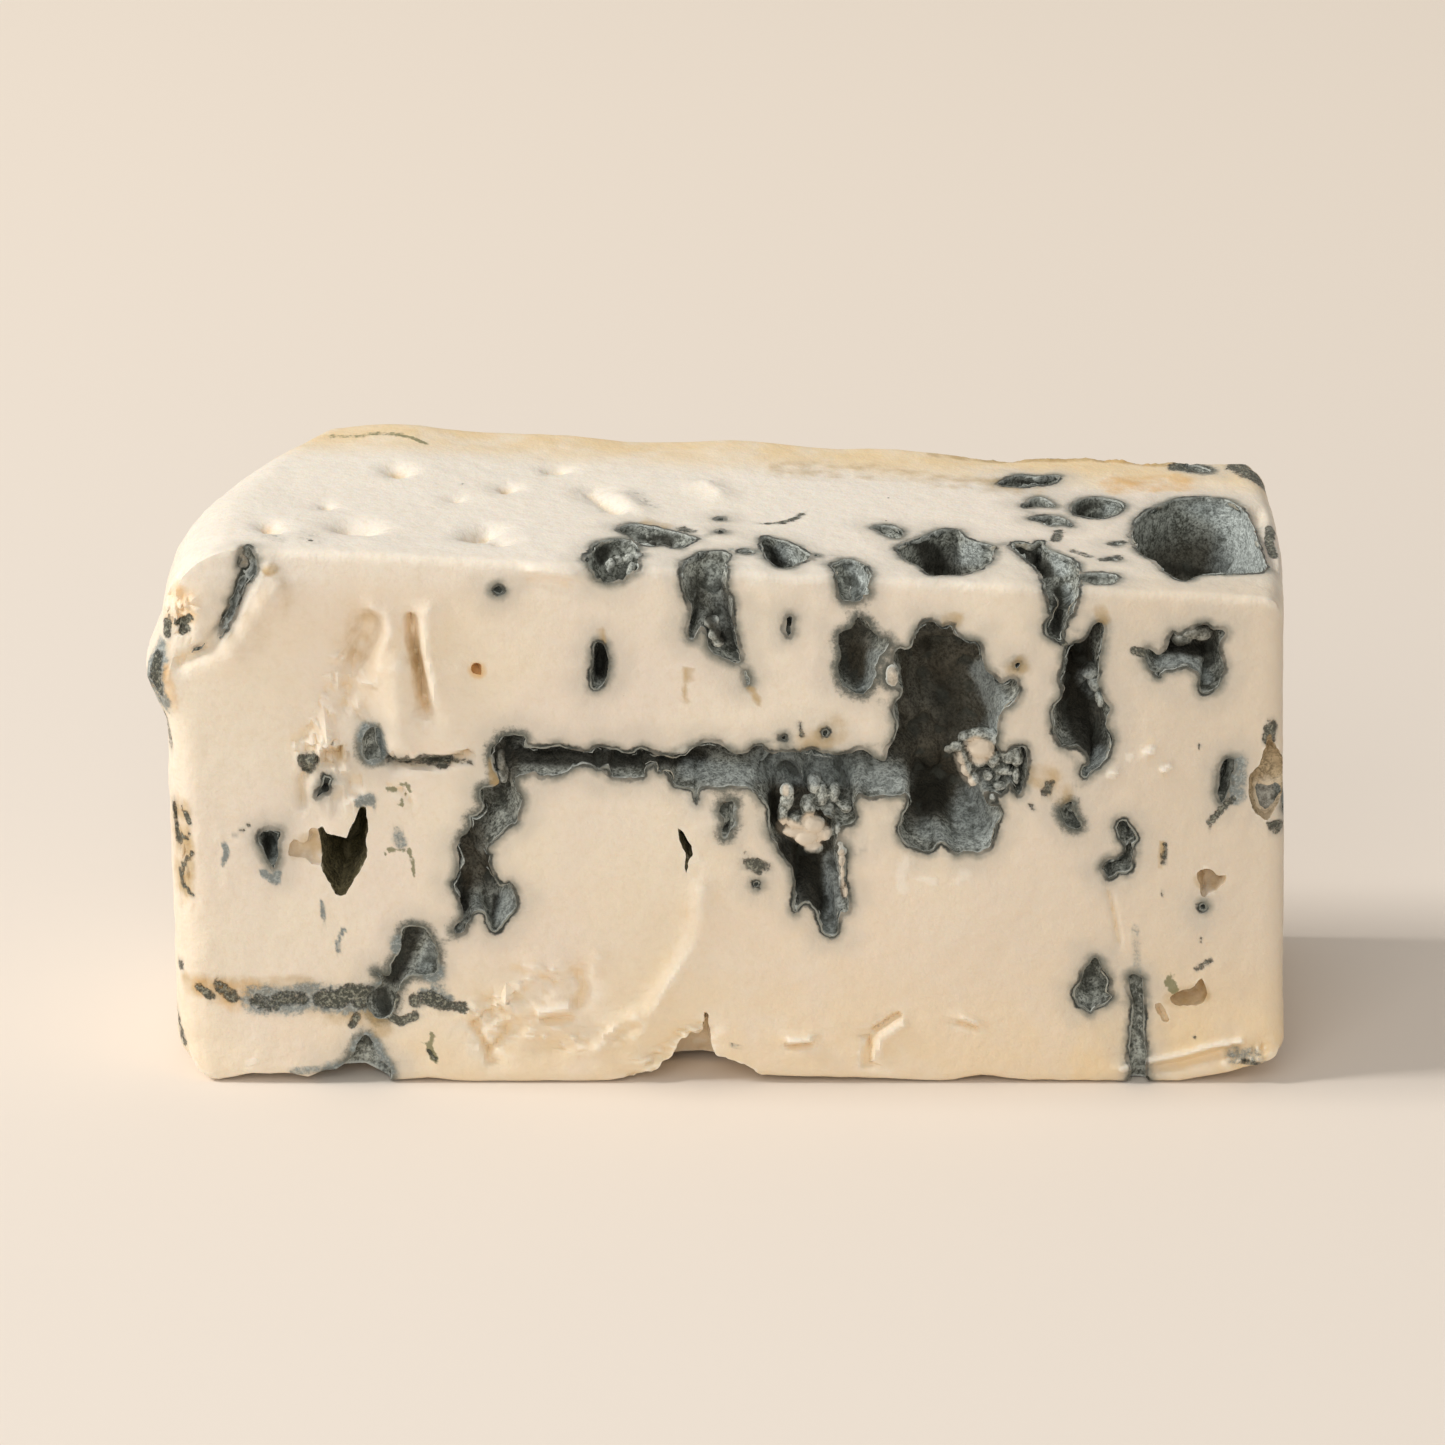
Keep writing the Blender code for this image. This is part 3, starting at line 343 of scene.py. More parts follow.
# Rounded edges: the two axes across the edge, the side of the middle it lies on, and its radius
roundEdges = [
    (0, 2, -1, 1, 9.0), (0, 2, -1, -1, 3.6), (0, 2, 1, 1, 2.2), (0, 2, 1, -1, 2.4),
    (0, 1, -1, -1, 3.4), (0, 1, -1, 1, 7.0), (0, 1, 1, -1, 1.8), (0, 1, 1, 1, 2.8),
    (1, 2, -1, 1, 0.9), (1, 2, 1, 1, 1.3), (1, 2, -1, -1, 0.7), (1, 2, 1, -1, 1.8),
]

# The flat faces that outlines and marks are drawn on: origin, across, up
faces = {
    "front": (Vector((0, -block["depth"] / 2, 0)), Vector((1, 0, 0)), Vector((0, 0, 1))),
    "top": (Vector((0, 0, block["height"])), Vector((1, 0, block["topSlope"])), Vector((0, 1, 0))),
    "back": (Vector((0, block["depth"] / 2, 0)), Vector((-1, 0, 0)), Vector((0, 0, 1))),
    "right": (Vector((60.3, 0, 0)), Vector((0, 1, 0)), Vector((0, 0, 1))),
    "left": (Vector((-57.0, 0, 0)), Vector((-0.2, -1, 0)), Vector((0, 0, 1))),
    "bottom": (Vector((0, 0, 0)), Vector((1, 0, 0)), Vector((0, -1, 0))),
}


def outwardOf(face):
    across, up = faces[face][1:]
    return -up.cross(across).normalized()


def roundEdge(point, half, first, second, signA, signB, radius):
    a = signA * point[first] - (half[first] - radius)
    b = signB * point[second] - (half[second] - radius)
    if a > 0 and b > 0:
        share = max(a, b) / math.hypot(a, b)
        point[first] = signA * (half[first] - radius + a * share)
        point[second] = signB * (half[second] - radius + b * share)


def shapeBlockPoint(spot):
    half = (block["length"] / 2, block["depth"] / 2, block["height"] / 2)
    crowd = block["crowding"]
    spot = [h * (u + crowd * math.sin(math.pi * u) / math.pi) for h, u in zip(half, spot)]
    for edge in roundEdges:
        roundEdge(spot, half, *edge)
    x, y, z = spot
    height = block["height"]
    z += height / 2
    backwards = (y + half[1]) / block["depth"]
    top = height + block["topSlope"] * x
    top += (block["topRise"] - max(0.0, -35.0 - x) * block["cornerDrop"]) * backwards
    z *= top / height
    # the rind end is curved and swells at one height, and the right end bows and leans
    rind = unit((-x - 30.0) / 25.0)
    swell = block["rindSwell"] * math.exp(-((z - block["rindSwellAt"]) / block["rindSwellReach"]) ** 2)
    x += rind * block["rindCurve"] * (y - block["rindBulgeAt"]) ** 2
    x += rind * (block["rindInset"] - block["rindLean"] * z / height - swell)
    right = unit((x - 40.0) / 20.0)
    bow = block["rightBow"] * math.cos(y / 14.0) - block["rightInset"]
    x += right * (bow + block["rightLean"] * (1.0 - z / height))
    place = Vector((x, y, z))
    wander = noise.noise_vector(place * 0.055) * block["uneven"]
    wander += noise.noise_vector(place * 0.17) * block["uneven"] * 0.4
    steps = block["underside"]
    rise = np.interp(x, [s[0] for s in steps], [s[1] for s in steps])
    rise *= 0.35 + 0.65 * unit((6.0 - y) / 20.0)
    rise += max(0.0, noise.noise(place * 0.09)) * 0.9 * unit((y + 14.0) / 8.0)
    spotX, spotY, spotRadius = block["restingSpot"]
    rise *= unit(math.hypot(x - spotX, y - spotY) / spotRadius - 1.0)
    low = max(0.0, 1.0 - z / 9.0)
    longWave, shortWave = block["backWaves"]
    backWave = longWave * math.sin(x / 7.0) + shortWave * math.sin(x / 3.1 + 1.0)
    nearBack = unit((y - 14.0) / 7.0) * unit((z - 45.0) / 8.0)
    place += wander * (1.0 - low)
    place.y -= block["footBulge"] * low * (1.0 - backwards) * unit((x + 62.0) / 12.0)
    place.z += rise * low + nearBack * backWave
    fine = noise.noise_vector(place * 0.6) * 0.07 + noise.noise_vector(place * 1.7) * 0.035
    onRind = unit((-x - 52.0) / 4.0)
    place += fine * (1.0 + 2.0 * onRind)
    place.z = max(0.0, place.z)
    return place


# How far each spot lies from a line of points, how far along it, from 0 to 1, and on which side of it
def alongLine(spots, line):
    line = np.array(line, float)
    nearest = np.full(len(spots), 1e9)
    share = np.zeros(len(spots))
    side = np.zeros(len(spots))
    if len(line) == 1:
        return np.hypot(*(spots - line[0]).T), share, side
    for k in range(len(line) - 1):
        run = line[k + 1] - line[k]
        t = clamp((spots - line[k]) @ run / (run @ run))
        gap = spots - line[k] - t[:, None] * run
        distance = np.hypot(gap[:, 0], gap[:, 1])
        closer = distance < nearest
        nearest[closer] = distance[closer]
        share[closer] = (k + t[closer]) / (len(line) - 1)
        side[closer] = np.sign(run[0] * gap[closer, 1] - run[1] * gap[closer, 0])
    return nearest, share, side


# Soft relief of the shown faces: kind, width, height, and the points of a line. A line is a groove or ridge,
# a step sinks the ground on one side of its line and fades away from it, and a crumble is a broken-up strip.
relief = {
    "front": [
        ("line", 1.7, -2.2, (-37.1, 51.8), (-37.4, 50.4), (-38, 48.8)),
        ("line", 0.8, 0.6, (-36.4, 53.8), (-35, 53), (-34.7, 51), (-35.9, 48.6), (-36.2, 46)),
        ("line", 0.8, -1.1, (-38.5, 47.6), (-39.2, 44.5), (-39.6, 42.9)),
        ("line", 0.6, -2.4, (-32.4, 52.5), (-32.2, 50), (-31.4, 46), (-30.9, 42.4)),
        ("line", 1.1, 0.8, (-30.6, 53.5), (-30.7, 49), (-30, 44)),
        ("line", 2.4, 0.9, (-28.6, 46), (-28.6, 41.5), (-29, 39.6)),
        ("line", 1.9, 1.5, (-34.2, 47), (-33.8, 42), (-33.6, 38.8)),
        ("line", 0.5, -1.6, (-36.1, 39.8), (-35.6, 37.4), (-34.2, 36.2), (-31.7, 36.2), (-28.6, 36.6),
         (-26.4, 37.4)),
        ("crumble", 1.6, 1.2, (-39.6, 47.6), (-40.4, 45.1), (-41.5, 43.5), (-41.9, 41.4), (-42.5, 39.4),
         (-44.1, 37.6)), ("crumble", 1.4, 0.9, (-36.8, 45.9), (-37.9, 44.3), (-38.3, 42.3), (-37.8, 41.4)),
        ("crumble", 1.7, 1.1, (-41.5, 39.5), (-41, 37.5), (-40, 36), (-39.2, 34.4), (-40.4, 32.4),
         (-38.4, 32)), ("crumble", 1, 1.4, (-42.2, 36.4), (-39.9, 37.6)),
        ("step", 6, -0.9, (-41.6, 29), (-43.6, 33), (-43.2, 38), (-40.8, 43.6), (-39.4, 48)),
        ("line", 0.5, -0.8, (-44.2, 31.6), (-44.4, 34.2), (-43.6, 35.2)),
        ("line", 0.3, -0.5, (-35, 33.8), (-33.6, 33.4), (-32.5, 31.8)),
        ("step", 5, -1, (-15.4, 3.7), (-11.5, 4.7), (-8.3, 6.1), (-7, 8.6), (-5, 12.4), (-2.4, 16.2),
         (-0.8, 18.9)),
        ("line", 1, 0.8, (-8.1, 7.2), (-7, 8.9), (-4.7, 12.7), (-3.1, 15.5), (-1.8, 18.6), (-1.6, 22)),
        ("line", 0.8, -1, (-14.8, 12), (-14.2, 10.3), (-14.8, 8.8)),
        ("line", 0.55, 0.9, (-18.9, 7.9), (-17.4, 8.4), (-16, 8.4)),
        ("line", 0.4, -0.7, (-18.6, 6.8), (-15.7, 7)),
        ("line", 0.45, -1, (-26, 6.3), (-24.7, 3.7), (-24.3, 2.3)),
        ("line", 0.4, -0.7, (-24.4, 3.4), (-22.5, 6)),
        ("crumble", 2, 0.8, (-25.7, 7.9), (-22, 9.5), (-18.6, 11)),
        ("crumble", 2.6, 0.8, (-24, 7.6), (-20, 5.6), (-15, 4.6), (-11, 5)),
        ("crumble", 1.4, 0.6, (-21, 12.6), (-16, 12), (-12.4, 13.4)),
        ("line", 0.8, 0.8, (-8.9, 7.5), (-12.8, 4.4)),
        ("crumble", 1.5, 1.4, (-1.8, 5.8), (-3.7, 5.1), (-5.7, 3.3), (-8.3, 0.9)),
        ("line", 0.5, 0.9, (7.9, 4.9), (10, 5.1)), ("line", 0.35, -0.7, (8, 4), (10.2, 4.2)),
        ("line", 0.35, -0.9, (16.2, 2), (16.3, 3.7), (16.9, 5.8), (19.5, 7.5)),
        ("line", 0.5, 0.5, (17.2, 3.2), (17.8, 5), (20, 6.6)),
        ("line", 0.4, 0.4, (43.6, 1.6), (47.1, 2.6), (50.1, 3.2), (53.3, 4.2), (56.5, 4.7)),
        ("line", 0.5, -0.7, (47.4, 1.6), (50.1, 2.1), (53.3, 3), (56, 3.5)),
        ("crumble", 1.2, 1.2, (55.4, 3), (57.2, 2.8), (58.6, 3.4)),
        ("line", 0.3, -0.4, (42, 21.6), (42.7, 18.6), (43.1, 15.8)),
        ("line", 0.3, -0.5, (26, 6.6), (28, 5.9)), ("line", 0.35, 0.5, (26.4, 7.4), (28, 6.8)),
        ("line", 0.35, 0.5, (41.9, 35.2), (42.6, 35.4)), ("line", 0.35, 0.6, (45.6, 37.6), (46.4, 38)),
        ("line", 0.35, 0.6, (47.6, 35.8), (48.2, 36.1)),
        ("line", 0.8, 0.6, (-19.4, 58.2), (-17, 57.9), (-15.2, 57.6)),
        ("line", 0.9, -0.6, (-19.6, 56.8), (-16, 56.4)),
        ("line", 0.8, -1.2, (-50, 60), (-49.6, 57.6), (-51.4, 53), (-54, 49.4), (-57, 47.6)),
        ("line", 1.6, 0.9, (-46.8, 56), (-48.6, 53), (-51.2, 49)),
        ("crumble", 0.8, 1.2, (-50.2, 59.8), (-50, 58)), ("line", 0.6, 0.7, (-47.4, 58.4), (-46.8, 58.2)),
        ("crumble", 1.6, 1.4, (-58.4, 54.4), (-56.4, 54), (-57, 51.8)),
        ("crumble", 1.2, 1.4, (-60, 49), (-60.2, 45), (-59.4, 42)),
        ("crumble", 0.9, 0.9, (-58.2, 32), (-57.4, 26), (-57, 20)),
    ],
    "top": [
        ("line", 1.3, -1.4, (-34.8, 6.4), (-34.4, 5.8)),
        ("line", 1.7, -1.7, (-39.2, -12.2), (-37.6, -12.6)),
        ("line", 1.3, -1.6, (-25.8, -13.4), (-24.6, -11.4)), ("line", 0.9, -1, (-23, -15.2)),
        ("line", 1, -1.1, (-22.7, 2.3)), ("line", 0.9, -1, (-18, 9), (-17.2, 9.4)),
        ("line", 1, -0.9, (-13.6, 2.8), (-12.6, 0.4), (-11, -3)),
        ("line", 1.1, -1.1, (-47.8, -13), (-47.2, -14.4)), ("line", 0.7, -0.8, (-41.8, -6)),
        ("line", 0.7, -0.7, (-28.1, -2)), ("line", 1.2, 0.35, (-10, 1), (-8, -4)),
        ("line", 1.1, 0.6, (-1.2, 6), (0.4, 2.6)),
        ("line", 0.8, -0.9, (59.6, -10), (59.4, -4), (58.6, 2), (58.8, 6)),
        ("crumble", 1.2, 0.4, (28, 20.6), (38, 20.8), (52, 20.6)),
    ],
}


skinDepth = 4.0  # relief and marks of the front and the top reach this deep
skinFade = 2.0  # and fade out over the last of it


# How much each point belongs to the front or the top, from 0 to 1, and its spot on that face
def onFace(points, face):
    if face == "front":
        return clamp((skinDepth - block["depth"] / 2 - points[:, 1]) / skinFade), points[:, [0, 2]]
    level = points[:, 2] - block["height"] - block["topSlope"] * points[:, 0]
    return clamp((level + skinDepth) / skinFade), points[:, [0, 1]]


def addRelief(points):
    moved = points.copy()
    for face, strokes in relief.items():
        weight, spots = onFace(points, face)
        outward = np.array(outwardOf(face))
        for kind, width, tallest, *line in strokes:
            distance, share, side = alongLine(spots, line)
            if kind == "step":
                signed = np.where(side > 0, distance, -distance)
                height = np.exp(-np.maximum(signed / width, 0.0)) * smooth((signed + 0.8) / 1.6)
                height *= np.sin(np.pi * clamp(share * 0.94 + 0.03)) ** 0.5
            else:
                height = np.exp(-(distance / width) ** 2)
            height = height * tallest * weight
            if kind == "crumble":
                for k in np.nonzero(np.abs(height) > 0.01)[0]:
                    place = Vector(points[k])
                    height[k] *= noise.noise(place * 0.42) * 1.1 + abs(noise.noise(place * 1.1)) * 0.9 - 0.3
            moved += height[:, None] * outward
    return moved


def subdivideEdges(obj, axis, cuts):
    bpy.ops.object.mode_set(mode="OBJECT")
    points = readPoints(obj)
    first, second = edgeEnds(obj).T
    along = np.abs(points[first, axis] - points[second, axis]) > 1e-5
    bpy.ops.object.mode_set(mode="EDIT")
    bpy.ops.mesh.select_all(action="DESELECT")
    bpy.ops.object.mode_set(mode="OBJECT")
    obj.data.edges.foreach_set("select", along)
    bpy.ops.object.mode_set(mode="EDIT")
    bpy.ops.mesh.subdivide(number_cuts=cuts)
    bpy.ops.object.mode_set(mode="OBJECT")


def makeBlock(rims):
    bpy.ops.mesh.primitive_cube_add(size=2.0, location=(0, 0, 0))
    obj = bpy.context.object
    obj.name = "blueCheeseBlock"
    bpy.ops.object.mode_set(mode="EDIT")
    bpy.ops.mesh.select_mode(type="EDGE")
    for axis, key in enumerate(("cutsX", "cutsY", "cutsZ")):
        for cuts in block[key]:
            subdivideEdges(obj, axis, cuts)
    # finer faces where a rim or a mark will run
    search = searchOf(rims)
    near = [search.find(shapeBlockPoint(face.center))[2] < block["fineNear"] for face in obj.data.polygons]
    bpy.ops.object.mode_set(mode="EDIT")
    bpy.ops.mesh.select_mode(type="FACE")
    bpy.ops.mesh.select_all(action="DESELECT")
    bpy.ops.object.mode_set(mode="OBJECT")
    obj.data.polygons.foreach_set("select", near)
    bpy.ops.object.mode_set(mode="EDIT")
    bpy.ops.mesh.subdivide(number_cuts=block["fineCuts"], ngon=False)
    bpy.ops.mesh.select_all(action="SELECT")
    bpy.ops.mesh.normals_make_consistent(inside=False)
    bpy.ops.object.mode_set(mode="OBJECT")
    shaped = np.array([shapeBlockPoint(vertex.co) for vertex in obj.data.vertices])
    shaped = addRelief(shaped)
    shaped[:, 2] = np.maximum(0.0, shaped[:, 2])
    writePoints(obj, shaped * mm)
    return obj


# Hollow cutters: the outline is filled and pushed down in a curve, remeshed evenly, and crinkled

cutter = dict(spacing=0.45, pastFace=1.6, rimDepth=0.35, uneven=0.25, outlineNoise=0.16, voxel=0.36,
              folds=(2.4, 0.55), crinkle=(0.7, 0.32), keep=0.42)


# A smooth closed curve through the points, as spots at an even spacing
def closedLine(points, spacing):
    points = np.array(points, float)
    before, after, later = (np.roll(points, shift, axis=0) for shift in (1, -1, -2))
    t = np.linspace(0, 1, 12, endpoint=False)[:, None, None]
    fine = 0.5 * (2 * points + (after - before) * t + (2 * before - 5 * points + 4 * after - later) * t ** 2
                  + (3 * points - before - 3 * after + later) * t ** 3)
    fine = fine.transpose(1, 0, 2).reshape(-1, 2)
    loop = np.vstack([fine, fine[:1]])
    gone = np.concatenate([[0], np.cumsum(np.hypot(*np.diff(loop, axis=0).T))])
    count = max(10, round(gone[-1] / spacing))
    at = np.arange(count) * gone[-1] / count
    return np.column_stack([np.interp(at, gone, loop[:, k]) for k in (0, 1)])


# Distance inside a closed line, negative outside it
def insideBy(spots, line):
    start, end = line, np.roll(line, -1, axis=0)
    run = end - start
    gap = spots[:, None] - start[None]
    t = clamp((gap * run).sum(2) / (run * run).sum(1))
    distance = np.sqrt(((gap - t[..., None] * run) ** 2).sum(2)).min(1)
    crosses = (start[:, 1] > spots[:, 1:2]) != (end[:, 1] > spots[:, 1:2])
    rise = np.where(run[:, 1] == 0, 1e-9, run[:, 1])
    left = spots[:, :1] < start[:, 0] + (spots[:, 1:2] - start[:, 1]) / rise * run[:, 0]
    return np.where((crosses & left).sum(1) % 2 == 1, distance, -distance)


def displace(obj, name, size, strength):
    texture = bpy.data.textures.get(name) or bpy.data.textures.new(name, "CLOUDS")
    texture.noise_scale = size * mm
    texture.noise_depth = 2
    modifier = obj.modifiers.new(name, "DISPLACE")
    modifier.texture = texture
    modifier.texture_coords = "LOCAL"
    modifier.strength = strength * mm
    modifier.mid_level = 0.5


def makeCutter(name, hollow):
    rng = np.random.default_rng(sum(map(ord, name)))
    depth, coarse = hollow["depth"], hollow["coarse"]
    origin, across, up = faces[hollow["face"]]
    outward = outwardOf(hollow["face"])
    line = closedLine(hollow["outline"], cutter["spacing"] * coarse)
    shift = np.array([noise.noise_vector(Vector((u, v, 3.0)) * 1.1)[:2] for u, v in line])
    line += shift * cutter["outlineNoise"]
    low, high = line.min(0), line.max(0)
    step = cutter["spacing"] * 1.05 * coarse
    grid = np.stack(np.meshgrid(np.arange(low[0], high[0], step), np.arange(low[1], high[1], step)), -1)
    grid[::2, :, 0] += step / 2
    grid = grid.reshape(-1, 2) + rng.uniform(-0.12, 0.12, (grid.size // 2, 2)) * step
    inner = grid[insideBy(grid, line) > step * 0.5]
    edges = [(k, (k + 1) % len(line)) for k in range(len(line))]
    flat = geometry.delaunay_2d_cdt([Vector(p) for p in np.vstack([line, inner])], edges, [], 1, 1e-4)
    sheet = bpy.data.meshes.new(name)
    sheet.from_pydata([(p.x, p.y, 0.0) for p in flat[0]], [], flat[2])
    obj = addMesh(name, sheet)
    bpy.ops.object.mode_set(mode="EDIT")
    bpy.ops.mesh.select_all(action="SELECT")
    bpy.ops.mesh.extrude_region_move(TRANSFORM_OT_translate={"value": (0, 0, -1)})
    bpy.ops.mesh.select_all(action="SELECT")
    bpy.ops.mesh.normals_make_consistent(inside=False)
    bpy.ops.object.mode_set(mode="OBJECT")
    points = readPoints(obj)
    spots = points[:, :2]
    share = clamp(insideBy(spots, line) / hollow["wall"])
    rough = np.array([noise.noise(Vector((u, v, depth)) * 0.5) for u, v in spots])
    bowl = depth * np.sqrt(1.0 - (1.0 - share) ** 2)
    sunk = cutter["rimDepth"] + bowl * (1.0 + cutter["uneven"] * rough)
    pushed = points[:, 2] < -0.5
    sunk = np.where(pushed, sunk, 0.0)
    lift = np.where(pushed, -sunk, cutter["pastFace"])
    spots = spots + sunk[:, None] * np.array(hollow["lean"])
    placed = np.array(origin) + spots[:, :1] * np.array(across) + spots[:, 1:] * np.array(up)
    placed += lift[:, None] * np.array(outward)
    writePoints(obj, placed * mm)
    obj.data.remesh_voxel_size = cutter["voxel"] * coarse * mm
    bpy.ops.object.voxel_remesh()
    displace(obj, "folds", *cutter["folds"])
    displace(obj, "crinkle", *cutter["crinkle"])
    obj.modifiers.new("thinner", "DECIMATE").ratio = cutter["keep"]
    applyModifiers(obj)
    rim = [Vector(origin + across * u + up * v) for u, v in line]
    return obj, rim, line


# Small pits, drawn as a middle and a radius: face, middle, radius, depth
pits = [
    ("front", (-23.1, 55.9), 0.45, 0.8), ("front", (32, 47.5), 0.45, 1.2), ("front", (52, 20), 0.4, 0.8),
    ("front", (7.2, 39.2), 0.38, 0.6), ("front", (11.5, 39.8), 0.36, 0.5), ("top", (43.2, -6.2), 0.5, 0.8),
    ("top", (42.4, -11.4), 0.5, 0.8), ("top", (46, 0.6), 0.4, 0.6), ("top", (45.8, 2), 0.35, 0.6),
    ("top", (0.4, -4.6), 0.6, 0.8), ("top", (0.4, -9), 0.6, 0.8), ("top", (10.6, -15.2), 0.35, 0.6),
    ("front", (4.2, 22.6), 0.3, 0.5), ("top", (3.2, -15.2), 0.7, 0.8),
]

# Faces that lie away from the eye: half the width and height of the stretch that hollows lie in, how many,
# and the seed of their places
hidden = [("back", 50.0, 25.0, 15, 11), ("right", 17.0, 23.0, 5, 4), ("left", 12.0, 18.0, 4, 29),
          ("bottom", 46.0, 15.0, 6, 8)]


def blobOutline(rng, middle, long, short):
    turn = rng.uniform(0, math.pi)
    count = rng.randint(6, 9)
    points = []
    for k in range(count):
        angle = 2 * math.pi * k / count
        reach = rng.uniform(0.7, 1.2)
        a = long * reach * math.cos(angle)
        b = short * reach * math.sin(angle)
        points.append((middle[0] + a * math.cos(turn) - b * math.sin(turn),
                       middle[1] + a * math.sin(turn) + b * math.cos(turn)))
    return points


def hiddenHollows():
    found = {}
    for face, halfWidth, halfHeight, count, seed in hidden:
        rng = random.Random(seed)
        level = 0.0 if face == "bottom" else 28.0
        taken = []
        if face == "bottom":
            spotX, spotY, spotRadius = block["restingSpot"]
            taken.append((Vector((spotX, -spotY)), spotRadius))
        while len(taken) < count:
            long = rng.uniform(1.4, 5.2)
            across = rng.uniform(-halfWidth, halfWidth)
            middle = Vector((across, level + rng.uniform(-halfHeight, halfHeight)))
            if any((middle - other).length < long * 1.3 + size * 1.3 + 1.0 for other, size in taken):
                continue
            short = long * rng.uniform(0.3, 0.7)
            taken.append((middle, long))
            deep = min(3.6, short * 1.6) if face != "left" else 1.0
            found[f"{face}Hollow{len(taken)}"] = dict(
                face=face, depth=deep, wall=short * 0.8, coarse=1.5,
                outline=blobOutline(rng, middle, long, short))
    return found


def pitHollows():
    found = {}
    for k, (face, middle, radius, depth) in enumerate(pits):
        rng = random.Random(k)
        found[f"pit{k}"] = dict(face=face, depth=depth, wall=radius, coarse=0.7,
                                outline=blobOutline(rng, middle, radius, radius * 0.8))
    return found


# Bits that stand in the hollows, each a few balls: (x, y, z, radius along each axis)
lumps = {
    "flap": [
        (24.7, -21.3, 37.9, 0.55, 0.5, 0.4), (25.6, -21.2, 38.2, 0.8, 0.6, 0.6),
        (26.6, -21, 39.3, 0.9, 0.8, 0.6), (28, -20.8, 39.6, 1.3, 0.9, 0.6), (29.3, -20.6, 39, 0.8, 1, 0.9),
        (28.2, -20.9, 38, 1.5, 0.8, 1.2), (26.2, -20.9, 37, 0.6, 0.8, 1), (26.7, -20.9, 35.6, 0.6, 0.7, 1),
        (27.4, -20.9, 34.3, 0.6, 0.7, 0.8), (28, -20.5, 36.4, 0.9, 0.8, 0.8),
        (29.6, -20.2, 36.4, 0.9, 1.2, 0.9), (31, -20.4, 36.9, 0.9, 1, 0.9),
        (32, -20.6, 36.9, 0.7, 0.9, 1.3), (30.4, -20.1, 35.2, 1, 1.2, 0.7),
        (32, -20.7, 34.8, 0.45, 0.8, 1.1), (29, -20.2, 34.6, 0.6, 1, 0.7),
        (30.2, -20.8, 33.6, 0.8, 0.7, 0.5), (29.4, -20.9, 32.6, 0.5, 0.7, 0.6)],
    "hangingLump": [
        (7.5, -21.2, 33.2, 0.85, 0.8, 0.8), (7.5, -20.9, 32, 0.7, 0.9, 1.1),
        (7.1, -20.8, 30.4, 0.6, 1, 1.3), (8.6, -20.6, 29.6, 1.2, 1.3, 1),
        (10.2, -20.8, 29.2, 1.4, 1.1, 1.1), (9.6, -20.9, 27.8, 1.3, 0.9, 1), (8, -20.6, 28.4, 1, 0.9, 0.7),
        (10.4, -20.9, 26.6, 1, 0.9, 0.8), (11.6, -20.7, 28.2, 0.8, 1, 0.8),
        (9.8, -20.5, 31.2, 0.9, 1.3, 1.2), (11.2, -20.1, 32.4, 0.7, 1.4, 1.4),
        (10.4, -19.9, 33.6, 0.8, 1.5, 1), (12.6, -20, 32.6, 0.6, 1.3, 1.1),
        (13.8, -20.6, 31.2, 0.8, 1, 0.6), (13, -20.8, 28.8, 0.4, 0.8, 0.9)],
    "beadedRibbon": [
        (13.2, -20.9, 27.2, 0.5, 0.9, 0.5), (13.4, -21.1, 26.4, 0.65, 0.7, 0.6),
        (13.4, -21, 25.2, 0.4, 0.9, 0.8), (13.5, -20.9, 24, 0.4, 0.9, 0.8),
        (13.4, -20.9, 22.8, 0.35, 0.8, 0.8), (13.9, -20.9, 21.7, 0.3, 0.8, 0.8)],
    "pocketTooth": [
        (-0.5, -20.9, 52.2, 0.8, 0.9, 0.7), (-0.2, -20.9, 51, 0.6, 0.8, 1),
        (0.2, -21, 49.9, 0.7, 0.6, 0.6)],
    "channelKnob": [
        (-23, -20.5, 36.4, 0.5, 1, 1.2), (-22.8, -20.4, 34.9, 0.7, 1.1, 1)],
    "pocketLedge": [
        (39.8, -19.4, 46.2, 1, 1.5, 0.8), (40.3, -19.8, 45, 0.8, 1.4, 0.9),
        (40.8, -20.4, 43.4, 0.5, 1.2, 0.9)],
    "hammerShelf": [
        (50.4, -20.5, 51, 1.5, 1.2, 0.8), (49.4, -20.6, 50.2, 1.2, 1.1, 0.7),
        (51.6, -20.5, 50.8, 1.1, 1.1, 0.8)],
    "curl": [
        (-11.2, -18.9, 57.7, 0.5, 0.8, 1), (-10.4, -18.4, 58.1, 0.6, 0.5, 0.7),
        (-9.4, -18.2, 58.2, 0.6, 0.5, 0.6), (-8.4, -17.8, 58.2, 0.6, 0.5, 0.6),
        (-9, -20, 57.5, 0.5, 0.8, 1)],
    "backTooth": [
        (-4.2, -13.4, 57.6, 0.6, 0.7, 0.9), (-6.8, -12.6, 57.2, 0.5, 0.7, 1.1)],
    "pocketCream": [
        (18.6, -21, 46.4, 0.8, 1.1, 1.5)],
}


lumpFinish = dict(roundness=3, voxel=0.26, folds=(1.1, 0.55), crinkle=(0.6, 0.14))


